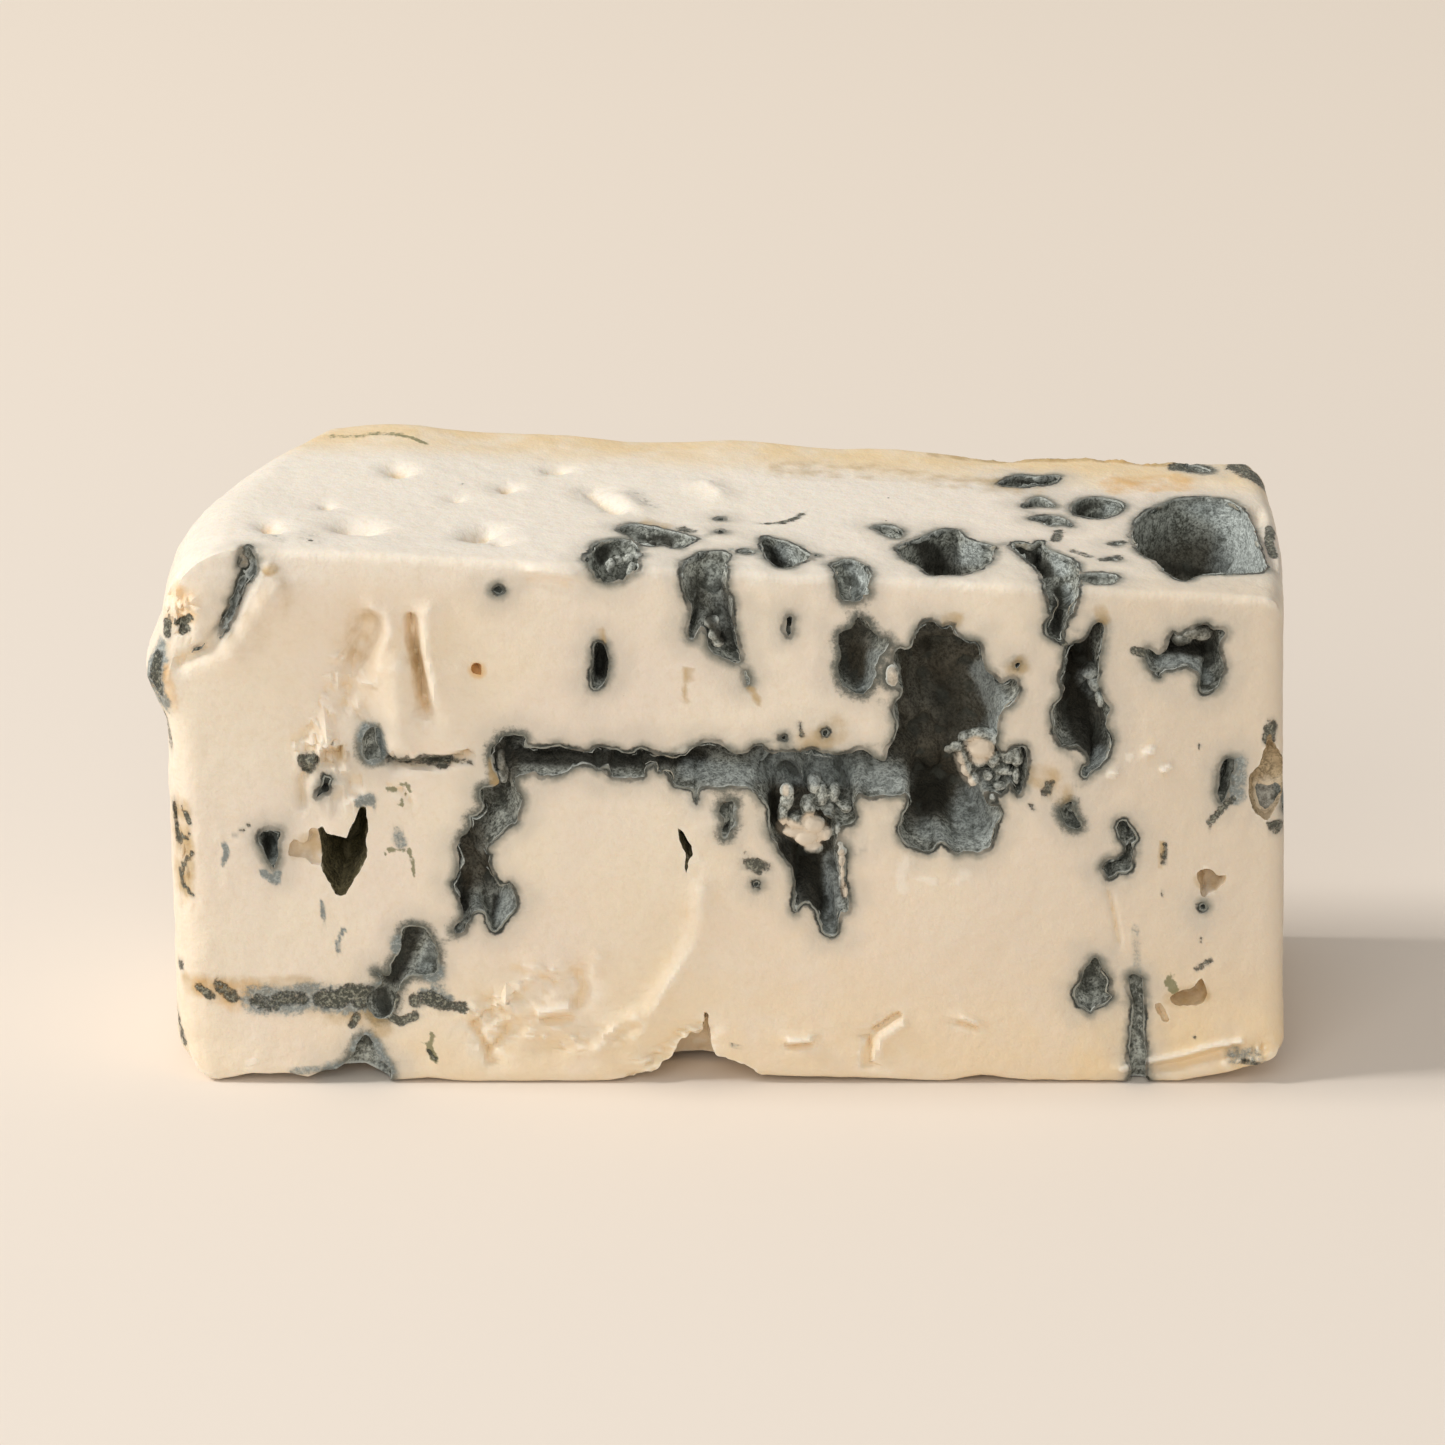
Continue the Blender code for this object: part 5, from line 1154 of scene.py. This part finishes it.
# What the materials need to know at each point: how far the nearest rim is, how deep the point lies under
# the plain block, and how much of each kind of mark and tone is on it
def paintBlock(obj, plainPoints):
    mesh = obj.data
    points = readPoints(obj) / mm
    slots = np.empty(len(mesh.polygons), int)
    mesh.polygons.foreach_get("material_index", slots)
    names = [slot.name for slot in mesh.materials]
    mouldy = np.array([name == "greyMould" for name in names])[slots]
    touches = np.zeros((len(points), 2), bool)
    for polygon, isMould in zip(mesh.polygons, mouldy):
        touches[list(polygon.vertices), int(isMould)] = True
    rimPoints = points[touches.all(1)]
    for name, targets in (("rimDistance", rimPoints), ("deep", plainPoints)):
        search = searchOf(targets)
        writeAttribute(obj, name, [search.find(Vector(p))[2] for p in points])
    writeAttribute(obj, "ridge", ridgesOf(obj, points))
    for kind, strokes in marks.items():
        writeAttribute(obj, kind + "Mark", paintStrokes(points, strokes, onFace, markFade))
    for kind, strokes in tones.items():
        writeAttribute(obj, "mould" + kind, paintStrokes(points, strokes, seenThrough, toneFade))
    print("rim points:", len(rimPoints))


# Nodes

def addNode(tree, kind, inputs=None, **settings):
    made = tree.nodes.new(kind)
    for key, value in settings.items():
        setattr(made, key, value)
    for key, value in (inputs or {}).items():
        if isinstance(value, bpy.types.NodeSocket):
            tree.links.new(value, made.inputs[key])
        else:
            made.inputs[key].default_value = value
    return made


def calc(tree, operation, a, b=0.0, clampIt=False):
    return addNode(tree, "ShaderNodeMath", {0: a, 1: b}, operation=operation, use_clamp=clampIt).outputs[0]


# Half of each value
def halfEach(tree, a, b):
    return calc(tree, "ADD", calc(tree, "MULTIPLY", a, 0.5), calc(tree, "MULTIPLY", b, 0.5))


# A value from 0 to 1 made a swing to both sides of zero
def swing(tree, value, width):
    return calc(tree, "MULTIPLY", calc(tree, "SUBTRACT", value, 0.5), width)


def mixColour(tree, factor, a, b):
    made = addNode(tree, "ShaderNodeMix", {0: factor, 6: a, 7: b}, data_type="RGBA")
    return made.outputs[2]


def ramped(tree, value, low, high, start=0.0, end=1.0):
    made = addNode(tree, "ShaderNodeMapRange", {0: value, 1: low, 2: high, 3: start, 4: end},
                   interpolation_type="SMOOTHSTEP")
    return made.outputs[0]


# Noise whose features are about size mm across
def noiseOf(tree, coords, size, detail=3.0, roughness=0.5):
    made = addNode(tree, "ShaderNodeTexNoise", {
        "Vector": coords, "Scale": 1000 / size, "Detail": detail, "Roughness": roughness})
    return made.outputs[0]


def attributeOf(tree, name):
    return addNode(tree, "ShaderNodeAttribute", attribute_name=name).outputs["Fac"]


def newGroup(name, inputs, outputs):
    tree = bpy.data.node_groups.new(name, "ShaderNodeTree")
    for socket, kind in inputs:
        tree.interface.new_socket(socket, in_out="INPUT", socket_type=kind)
    for socket, kind in outputs:
        tree.interface.new_socket(socket, in_out="OUTPUT", socket_type=kind)
    return tree, tree.nodes.new("NodeGroupInput"), tree.nodes.new("NodeGroupOutput")


def useGroup(tree, group, inputs):
    return addNode(tree, "ShaderNodeGroup", inputs, node_tree=group)


# Distance from the nearest rim in mm: Near wanders a little, for thin bands, and Far a lot, for stains
def rimBandsGroup():
    tree, source, out = newGroup("rimBands", [("Coords", "NodeSocketVector")],
                                 [("Near", "NodeSocketFloat"), ("Far", "NodeSocketFloat")])
    coords = source.outputs["Coords"]
    distance = attributeOf(tree, "rimDistance")
    near = calc(tree, "ADD", distance, swing(tree, noiseOf(tree, coords, 0.7, 4, 0.6), 0.5))
    far = calc(tree, "ADD", distance, swing(tree, noiseOf(tree, coords, 3.2, 3), 3.4))
    tree.links.new(near, out.inputs["Near"])
    tree.links.new(far, out.inputs["Far"])
    return tree


# Uneven surface at three sizes: its height in mm, and a light and dark tone that goes with it
def grainGroup():
    tree, source, out = newGroup(
        "grain", [("Coords", "NodeSocketVector"), ("Coarse", "NodeSocketFloat"), ("Fine", "NodeSocketFloat")],
        [("Height", "NodeSocketFloat"), ("Tone", "NodeSocketFloat")])
    coords = source.outputs["Coords"]
    coarse = noiseOf(tree, coords, 2.2, 3, 0.55)
    middle = noiseOf(tree, coords, 0.6, 3, 0.6)
    fine = noiseOf(tree, coords, 0.26, 2, 0.6)
    height = calc(tree, "ADD", calc(tree, "MULTIPLY", coarse, source.outputs["Coarse"]),
                  calc(tree, "MULTIPLY", calc(tree, "ADD", middle, fine), source.outputs["Fine"]))
    tree.links.new(height, out.inputs["Height"])
    tree.links.new(halfEach(tree, middle, fine), out.inputs["Tone"])
    return tree


def newMaterial(name):
    material = bpy.data.materials.new(name)
    material.use_nodes = True
    tree = material.node_tree
    coords = addNode(tree, "ShaderNodeTexCoord").outputs["Object"]
    return material, tree, tree.nodes["Principled BSDF"], coords


def bumpFrom(tree, shader, heightInMm):
    bump = addNode(tree, "ShaderNodeBump", {"Strength": 1.0, "Distance": mm, "Height": heightInMm})
    tree.links.new(bump.outputs["Normal"], shader.inputs["Normal"])


# Paste colours. The pale one paints light on the skin, the dull one paints shade towards the right of the cut
# face, the white one also serves for painted highlights on ridges and the warm one for painted shade in the
# folds of the relief.
pasteLook = dict(
    cream=rgb(243, 231, 211), pink=rgb(240, 227, 211), litTop=rgb(247, 239, 226), warm=rgb(240, 214, 170),
    rightShade=rgb(224, 209, 188), mottle=rgb(232, 214, 186), halo=rgb(204, 196, 182), edge=rgb(164, 166, 156),
    ring=rgb(116, 118, 108), line=rgb(48, 52, 46), fuzz=rgb(84, 88, 80), dark=rgb(66, 68, 58),
    darkFuzz=rgb(150, 150, 134), blue=rgb(120, 130, 130), blueFuzz=rgb(168, 176, 174),
    ochreAndDentShade=rgb(190, 160, 108), orangeAndDentShade=rgb(226, 180, 112), green=rgb(112, 114, 74), whiteAndHighlight=rgb(250, 243, 230),
    smoke=rgb(158, 156, 144), speck=rgb(92, 84, 62), roughness=(0.4, 0.58), specular=0.4, scatter=0.15,
    scatterScale=0.0014, scatterReach=(1.0, 0.62, 0.36), grain=(0.22, 0.03), lineSunk=0.14, speckSunk=0.1,
    markSunk=0.3, whiteRaised=0.1, speckCells=210.0, dragTurn=32.0, dragStretch=0.3, dragHeight=0.03,
)

# How each kind of mark is laid on the paste: the values it starts and is full at, and its strength
markLook = dict(ochreAndDentShade=(0.0, 1.1, 0.85), orangeAndDentShade=(0.0, 1.1, 0.85), green=(0.3, 0.7, 0.8), blue=(0.3, 0.8, 0.85),
                dark=(0.5, 0.9, 0.95), whiteAndHighlight=(0.2, 1.0, 0.5))


def pasteMaterial(bands, grain):
    look = pasteLook
    material, tree, shader, coords = newMaterial("creamPaste")
    large = noiseOf(tree, coords, 22, 3)
    middle = noiseOf(tree, coords, 5, 4)
    patches = noiseOf(tree, coords, 2.2, 3)
    small = noiseOf(tree, coords, 0.8, 4, 0.6)
    fine = noiseOf(tree, coords, 0.5, 5, 0.7)
    colour = mixColour(tree, ramped(tree, large, 0.35, 0.65), look["cream"], look["pink"])
    # painted light on the skin, and painted shade towards the right of the cut face
    colour = mixColour(tree, attributeOf(tree, "litTop"), colour, look["litTop"])
    colour = mixColour(tree, attributeOf(tree, "rightShade"), colour, look["rightShade"])
    warmth = calc(tree, "MULTIPLY", attributeOf(tree, "warmth"), ramped(tree, middle, 0.25, 0.6, 0.45, 1.0))
    colour = mixColour(tree, warmth, colour, look["warm"])
    colour = mixColour(tree, ramped(tree, small, 0.45, 0.7, 0.0, 0.3), colour, look["mottle"])
    # painted highlight on the ridges, and painted warm shade in the folds of the relief
    ridge = attributeOf(tree, "ridge")
    colour = mixColour(tree, ramped(tree, ridge, 0.03, 0.16, 0.0, 0.35), colour, look["whiteAndHighlight"])
    colour = mixColour(tree, ramped(tree, ridge, -0.16, -0.03, 0.4, 0.0), colour, look["warm"])
    # grey stain and soft dark ring round every rim
    rims = useGroup(tree, bands, {"Coords": coords})
    near, far = rims.outputs["Near"], rims.outputs["Far"]
    colour = mixColour(tree, ramped(tree, far, 0.2, 3.8, 0.62, 0.0), colour, look["halo"])
    ring = calc(tree, "MULTIPLY", ramped(tree, near, 0.1, 1.3, 0.9, 0.0),
                ramped(tree, patches, 0.36, 0.6, 0.45, 1.0))
    colour = mixColour(tree, ring, colour, look["ring"])
    soft = attributeOf(tree, "softMark")
    grainy = calc(tree, "ADD", near, swing(tree, fine, 2.6))
    fuzzy = calc(tree, "MULTIPLY", ramped(tree, grainy, 0.0, 1.1, 0.9, 0.0), soft)
    colour = mixColour(tree, fuzzy, colour, look["fuzz"])
    # stains and mould marks, broken up at their edges; the ochre and orange ones also paint shade in dents,
    # and the white ones highlights on ridges and flecks
    smoke = calc(tree, "MAXIMUM", attributeOf(tree, "darkMark"), attributeOf(tree, "blueMark"))
    colour = mixColour(tree, ramped(tree, smoke, 0.02, 0.9, 0.0, 0.6), colour, look["smoke"])
    blotchy = swing(tree, patches, 1.6)
    patchy = swing(tree, halfEach(tree, small, fine), 2.2)
    grainCoarse, grainFine = look["grain"]
    surface = useGroup(tree, grain, {"Coords": coords, "Coarse": grainCoarse, "Fine": grainFine})
    masks = {}
    for kind, (low, high, share) in markLook.items():
        mark = attributeOf(tree, kind + "Mark")
        broken = calc(tree, "ADD", mark, blotchy if kind in ("ochreAndDentShade", "orangeAndDentShade", "whiteAndHighlight") else patchy)
        mask = calc(tree, "MULTIPLY", ramped(tree, broken, low, high), share)
        mask = calc(tree, "MULTIPLY", mask, ramped(tree, mark, 0.05, 0.4))
        tint = look[kind]
        if kind in ("dark", "blue"):
            fuzzTone = ramped(tree, surface.outputs["Tone"], 0.46, 0.62)
            tint = mixColour(tree, fuzzTone, look[kind], look[kind + "Fuzz"])
        colour = mixColour(tree, mask, colour, tint)
        masks[kind] = mask
    # a few dark specks, each a dot in one cell of a loose grid
    cells = addNode(tree, "ShaderNodeTexVoronoi", {"Vector": coords, "Scale": look["speckCells"]})
    pick = addNode(tree, "ShaderNodeSeparateColor", {"Color": cells.outputs["Color"]}).outputs[0]
    dot = calc(tree, "MULTIPLY", ramped(tree, cells.outputs["Distance"], 0.018, 0.034, 1.0, 0.0),
               calc(tree, "GREATER_THAN", pick, 0.72))
    colour = mixColour(tree, calc(tree, "MULTIPLY", dot, 0.85), colour, look["speck"])
    # the dark line at the rim, dark mould with a painted shadow where the paste drops into the hollow, wide
    # and narrow by turns, and a pale edge in places
    wander = calc(tree, "ADD", near, swing(tree, patches, 1.1))
    line = calc(tree, "MULTIPLY", ramped(tree, wander, 0.2, 0.5, 1.0, 0.0),
                ramped(tree, near, 0.5, 0.8, 1.0, 0.0))
    line = calc(tree, "MULTIPLY", line, calc(tree, "SUBTRACT", 1.0, calc(tree, "MULTIPLY", soft, 0.8)))
    line = calc(tree, "MULTIPLY", line, ramped(tree, middle, 0.38, 0.56, 0.35, 1.0))
    colour = mixColour(tree, line, colour, look["line"])
    edge = calc(tree, "MULTIPLY", ramped(tree, near, 0.12, 0.24, 1.0, 0.0),
                ramped(tree, middle, 0.5, 0.62, 0.0, 0.7))
    colour = mixColour(tree, edge, colour, look["edge"])
    tree.links.new(colour, shader.inputs["Base Color"])
    tree.links.new(ramped(tree, small, 0.3, 0.7, *look["roughness"]), shader.inputs["Roughness"])
    shader.inputs["Specular IOR Level"].default_value = look["specular"]
    shader.inputs["Subsurface Weight"].default_value = look["scatter"]
    shader.inputs["Subsurface Radius"].default_value = look["scatterReach"]
    shader.inputs["Subsurface Scale"].default_value = look["scatterScale"]
    height = calc(tree, "SUBTRACT", surface.outputs["Height"], calc(tree, "MULTIPLY", line, look["lineSunk"]))
    height = calc(tree, "SUBTRACT", height, calc(tree, "MULTIPLY", dot, look["speckSunk"]))
    height = calc(tree, "SUBTRACT", height, calc(tree, "MULTIPLY", masks["dark"], look["markSunk"]))
    height = calc(tree, "ADD", height, calc(tree, "MULTIPLY", masks["whiteAndHighlight"], look["whiteRaised"]))
    # knife drags and little flakes: noise stretched along a slanting direction, where it stands out
    slant = addNode(tree, "ShaderNodeMapping", {
        "Vector": coords, "Rotation": (0.0, math.radians(look["dragTurn"]), 0.0),
        "Scale": (look["dragStretch"], 1.0, 1.0)}).outputs[0]
    drag = ramped(tree, noiseOf(tree, slant, 1.3, 3, 0.6), 0.56, 0.72)
    drag = calc(tree, "MULTIPLY", drag, calc(tree, "ADD", ramped(tree, large, 0.5, 0.7, 0.0, 0.5),
                                             calc(tree, "MULTIPLY", attributeOf(tree, "sliceMark"), 1.2)))
    height = calc(tree, "ADD", height, calc(tree, "MULTIPLY", drag, look["dragHeight"]))
    bumpFrom(tree, shader, height)
    return material


# Lining colours: deep is a painted shade for points that lie deep in the hollow, fold a painted shade in
# folds and just inside the lip, and the lip colour also serves as a painted highlight on ridges
linings = {
    "greyMould": dict(lip=rgb(200, 204, 198), foldShade=rgb(82, 85, 78), light=rgb(212, 216, 207),
                      dark=rgb(112, 114, 104), deep=rgb(88, 82, 68), lipWidth=0.3),
    # painted shade: the olive lining is dark for the shade deep in the clean splits, with an olive tint
    "shadedOliveLining": dict(lip=rgb(214, 204, 180), foldShade=rgb(120, 112, 84), light=rgb(132, 124, 94),
                        dark=rgb(92, 84, 56), deep=rgb(80, 73, 42), lipWidth=0.5),
    "brownLining": dict(lip=rgb(232, 216, 188), foldShade=rgb(186, 166, 134), light=rgb(212, 192, 158),
                        dark=rgb(178, 156, 120), deep=rgb(126, 106, 78), lipWidth=0.5),
}


# What all linings share: the tints of the tones with their strengths (Shade a painted shade, Lit a painted
# light), the pits in the fuzz, and the finish
liningLook = dict(
    tints=dict(Shade=(rgb(54, 52, 44), 0.92), Brown=(rgb(108, 99, 82), 0.62), Lit=(rgb(206, 215, 213), 0.75)),
    cream=rgb(226, 212, 192), pits=rgb(38, 40, 36), grain=(0.3, 0.17), roughness=(0.8, 0.95), specular=0.15,
    lipRaised=0.12,
)


def liningMaterial(name, bands, grain):
    look = linings[name]
    material, tree, shader, coords = newMaterial(name)
    patches = noiseOf(tree, coords, 2.8, 4, 0.6)
    coarse, fine = liningLook["grain"]
    fuzz = useGroup(tree, grain, {"Coords": coords, "Coarse": coarse, "Fine": fine})
    tone = halfEach(tree, patches, fuzz.outputs["Tone"])
    colour = mixColour(tree, ramped(tree, tone, 0.38, 0.6), look["dark"], look["light"])
    # painted highlight: the pale lip colour on ridges
    ridge = attributeOf(tree, "ridge")
    colour = mixColour(tree, ramped(tree, ridge, 0.04, 0.2, 0.0, 0.6), colour, look["lip"])
    # painted shade: darker and browner the deeper the point lies under the plain block
    sunk = calc(tree, "ADD", attributeOf(tree, "deep"), calc(tree, "MULTIPLY", patches, 3.0))
    colour = mixColour(tree, ramped(tree, sunk, 3.5, 8.0, 0.0, 0.85), colour, look["deep"])
    # the tones: painted shade (Shade), painted light (Lit), and brown and cream tints
    for kind, (tint, share) in liningLook["tints"].items():
        painted = attributeOf(tree, "mould" + kind)
        stroke = calc(tree, "ADD", painted, swing(tree, tone, 0.8))
        stroke = calc(tree, "MULTIPLY", ramped(tree, stroke, 0.1, 0.95), share)
        stroke = calc(tree, "MULTIPLY", stroke, ramped(tree, painted, 0.02, 0.25))
        colour = mixColour(tree, stroke, colour, tint)
    speckle = ramped(tree, fuzz.outputs["Tone"], 0.38, 0.62, 0.0, 0.6)
    colour = mixColour(tree, calc(tree, "SUBTRACT", 0.5, speckle, True), colour, liningLook["pits"])
    # painted shade in the folds, where the ridge value is below zero
    colour = mixColour(tree, ramped(tree, ridge, -0.2, -0.04, 0.7, 0.0), colour, look["foldShade"])
    creamy = calc(tree, "ADD", attributeOf(tree, "mouldCream"), swing(tree, tone, 0.5))
    creamy = ramped(tree, creamy, 0.3, 0.75, 0.0, 0.95)
    colour = mixColour(tree, creamy, colour, liningLook["cream"])
    near = useGroup(tree, bands, {"Coords": coords}).outputs["Near"]
    width = look["lipWidth"]
    lip = calc(tree, "MULTIPLY", ramped(tree, near, width * 0.7, width * 1.3, 1.0, 0.0),
               ramped(tree, patches, 0.42, 0.58, 0.1, 0.9))
    # painted shade in a band just inside the lip
    foldShade = calc(tree, "MULTIPLY", ramped(tree, near, width, width * 1.6),
                ramped(tree, near, width * 1.9, width * 3.2, 0.3, 0.0))
    colour = mixColour(tree, foldShade, colour, look["foldShade"])
    colour = mixColour(tree, lip, colour, look["lip"])
    tree.links.new(colour, shader.inputs["Base Color"])
    tree.links.new(ramped(tree, patches, 0.3, 0.7, *liningLook["roughness"]), shader.inputs["Roughness"])
    shader.inputs["Specular IOR Level"].default_value = liningLook["specular"]
    fuzzShare = calc(tree, "SUBTRACT", 1.0, calc(tree, "MULTIPLY", creamy, 0.85))
    height = calc(tree, "MULTIPLY", fuzz.outputs["Height"], fuzzShare)
    bumpFrom(tree, shader, calc(tree, "ADD", height, calc(tree, "MULTIPLY", lip, liningLook["lipRaised"])))
    return material


# Where the paste is yellower (the back band of the skin, the foot and the middle of the cut face above all),
# a painted shade that darkens the right of the cut face, and a painted light that makes the skin paler
warmthLook = dict(band=0.9, foot=0.5, middle=0.3, corner=0.4, upper=0.35, end=0.12, back=0.35,
                  rightShade=0.8, litTop=0.8)


def paintWarmth(obj):
    look = warmthLook
    x, y, z = readPoints(obj).T / mm
    band = smooth((y - 9) / 8) * smooth((z - 50) / 6) * look["band"]
    foot = smooth((16 - z) / 16) * look["foot"]
    middle = np.exp(-((x - 8) / 34) ** 2 - ((z - 14) / 16) ** 2) * look["middle"]
    corner = smooth((x - 24) / 24) * smooth((20 - z) / 16) * look["corner"]
    upper = np.exp(-((x + 34) / 16) ** 2 - ((z - 50) / 9) ** 2) * smooth((-18 - y) / 3) * look["upper"]
    end = smooth((-x - 50) / 8) * smooth((40 - z) / 20) * look["end"]
    foot *= 1.0 - 0.6 * smooth((-x - 36) / 16)
    back = smooth((y - 16) / 4) * look["back"]
    writeAttribute(obj, "warmth", clamp(band + foot + middle + corner + upper + end + back))
    # painted shade towards the right of the cut face, and painted light on the skin
    writeAttribute(obj, "rightShade", smooth((x - 18) / 34) * smooth((-15 - y) / 3) * look["rightShade"])
    writeAttribute(obj, "litTop", smooth((z - 55) / 3) * look["litTop"])


def boolean(obj, parts, operation):
    folder = bpy.data.collections.new(operation.lower())
    bpy.context.scene.collection.children.link(folder)
    for part in parts:
        for home in part.users_collection:
            home.objects.unlink(part)
        folder.objects.link(part)
    modifier = obj.modifiers.new(operation.lower(), "BOOLEAN")
    modifier.operand_type = "COLLECTION"
    modifier.collection = folder
    modifier.operation = operation
    modifier.solver = "MANIFOLD"
    if hasattr(modifier, "material_mode"):
        modifier.material_mode = "TRANSFER"
    applyModifiers(obj)
    for part in parts:
        bpy.data.objects.remove(part)
    bpy.data.collections.remove(folder)


# Spots along each mark and relief line, where the block needs finer faces
def drawnSpots():
    drawn = []
    for kind, strokes in marks.items():
        if kind not in ("soft", "slice"):
            drawn += [(face, stroke[2:]) for face, lines in strokes.items() for stroke in lines]
    drawn += [(face, stroke[3:]) for face, lines in relief.items() for stroke in lines]
    spots = []
    for face, line in drawn:
        origin, across, up = faces[face]
        for a, b in zip(line, line[1:] or line):
            count = max(2, round(math.dist(a, b) / block["markSpacing"]))
            for k in range(count + 1):
                u = a[0] + (b[0] - a[0]) * k / count
                v = a[1] + (b[1] - a[1]) * k / count
                spots.append(origin + across * u + up * v)
    return spots


def makeCheese():
    bands = rimBandsGroup()
    grain = grainGroup()
    materials = {name: liningMaterial(name, bands, grain) for name in linings}
    materials["paste"] = pasteMaterial(bands, grain)
    cutters, rims, rimLines = [], [], []
    for name, own in {**hollows, **pitHollows(), **hiddenHollows()}.items():
        hollow = {**plainHollow, **own}
        obj, rim, line = makeCutter(name, hollow)
        if hollow["lining"] == "greyMould" and not name.startswith("pit") and name not in frill["bare"]:
            rimLines.append((name, hollow["face"], line))
        obj.data.materials.append(materials[hollow["lining"]])
        cutters.append(obj)
        if hollow["face"] in ("front", "top"):
            rims += rim
    print("cutters:", len(cutters), "faces:", sum(len(c.data.polygons) for c in cutters))
    cheese = makeBlock(rims + drawnSpots())
    cheese.data.materials.append(materials["paste"])
    plainPoints = readPoints(cheese) / mm
    print("block faces:", len(cheese.data.polygons))
    boolean(cheese, cutters, "DIFFERENCE")
    pieces = []
    for name, balls in lumps.items():
        piece = makeLump(name, balls)
        piece.data.materials.clear()
        piece.data.materials.append(materials["greyMould"])
        pieces.append(piece)
    boolean(cheese, pieces, "UNION")
    print("cheese triangles:", sum(len(p.vertices) - 2 for p in cheese.data.polygons))
    paintBlock(cheese, plainPoints)
    paintWarmth(cheese)
    only(cheese)
    bpy.ops.object.shade_smooth_by_angle(angle=math.radians(38))
    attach(cheese, "root")
    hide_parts("blue_cheese")
    frills = makeFrills(rimLines, plainPoints, frillMaterial(grain))
    print("frill triangles:", sum(len(p.vertices) - 2 for p in frills.data.polygons))
    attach(frills, "root")


# Studio: a pale floor, a soft key light from the left, a wide fill from the front and even light all round

studio = dict(
    floor=rgb(238, 228, 217), backdrop=rgb(244, 232, 218), floorRadius=4, floorShade=(0.06, 0.4),
    world=0.43, worldColour=(1.0, 0.97, 0.93, 1.0), aim=(0, 0, 0.03),
    key=dict(place=(-1.58, -0.09, 1.35), size=0.54, watts=29.0, colour=(1.0, 0.975, 0.935)),
    fill=dict(place=(-0.35, -1.45, 0.8), size=1.1, watts=7.3, colour=(1.0, 0.985, 0.96)),
)


def makeStudio():
    bpy.ops.mesh.primitive_circle_add(
        vertices=96, radius=studio["floorRadius"], fill_type="NGON", location=(0, 0, -0.0001))
    table = bpy.context.object
    table.name = "paleTable"
    bpy.ops.object.transform_apply(location=True, rotation=True, scale=True)
    material, tree, shader, coords = newMaterial("tablePaper")
    behind = addNode(tree, "ShaderNodeSeparateXYZ", {0: coords}).outputs[1]
    mottle = calc(tree, "MULTIPLY", noiseOf(tree, coords, 160, 2), 0.02)
    shade = ramped(tree, calc(tree, "ADD", behind, mottle), *studio["floorShade"])
    tree.links.new(mixColour(tree, shade, studio["floor"], studio["backdrop"]), shader.inputs["Base Color"])
    shader.inputs["Roughness"].default_value = 0.9
    shader.inputs["Specular IOR Level"].default_value = 0.1
    table.data.materials.append(material)


def addSoftLight(name):
    look = studio[name]
    bpy.ops.object.light_add(type="AREA", location=look["place"])
    light = bpy.context.object
    light.name = name + "Light"
    light.data.size = look["size"]
    light.data.energy = look["watts"]
    light.data.color = look["colour"]
    light.rotation_euler = (Vector(studio["aim"]) - light.location).to_track_quat("-Z", "Y").to_euler()


def makeLights():
    addSoftLight("key")
    addSoftLight("fill")
    world = bpy.data.worlds.new("softRoom")
    world.use_nodes = True
    bpy.context.scene.world = world
    background = world.node_tree.nodes["Background"]
    background.inputs["Color"].default_value = studio["worldColour"]
    background.inputs["Strength"].default_value = studio["world"]
    bpy.context.scene.view_settings.view_transform = "Standard"
    print("studio and lights in place")


addCamera()
makeCheese()
makeStudio()
makeLights()
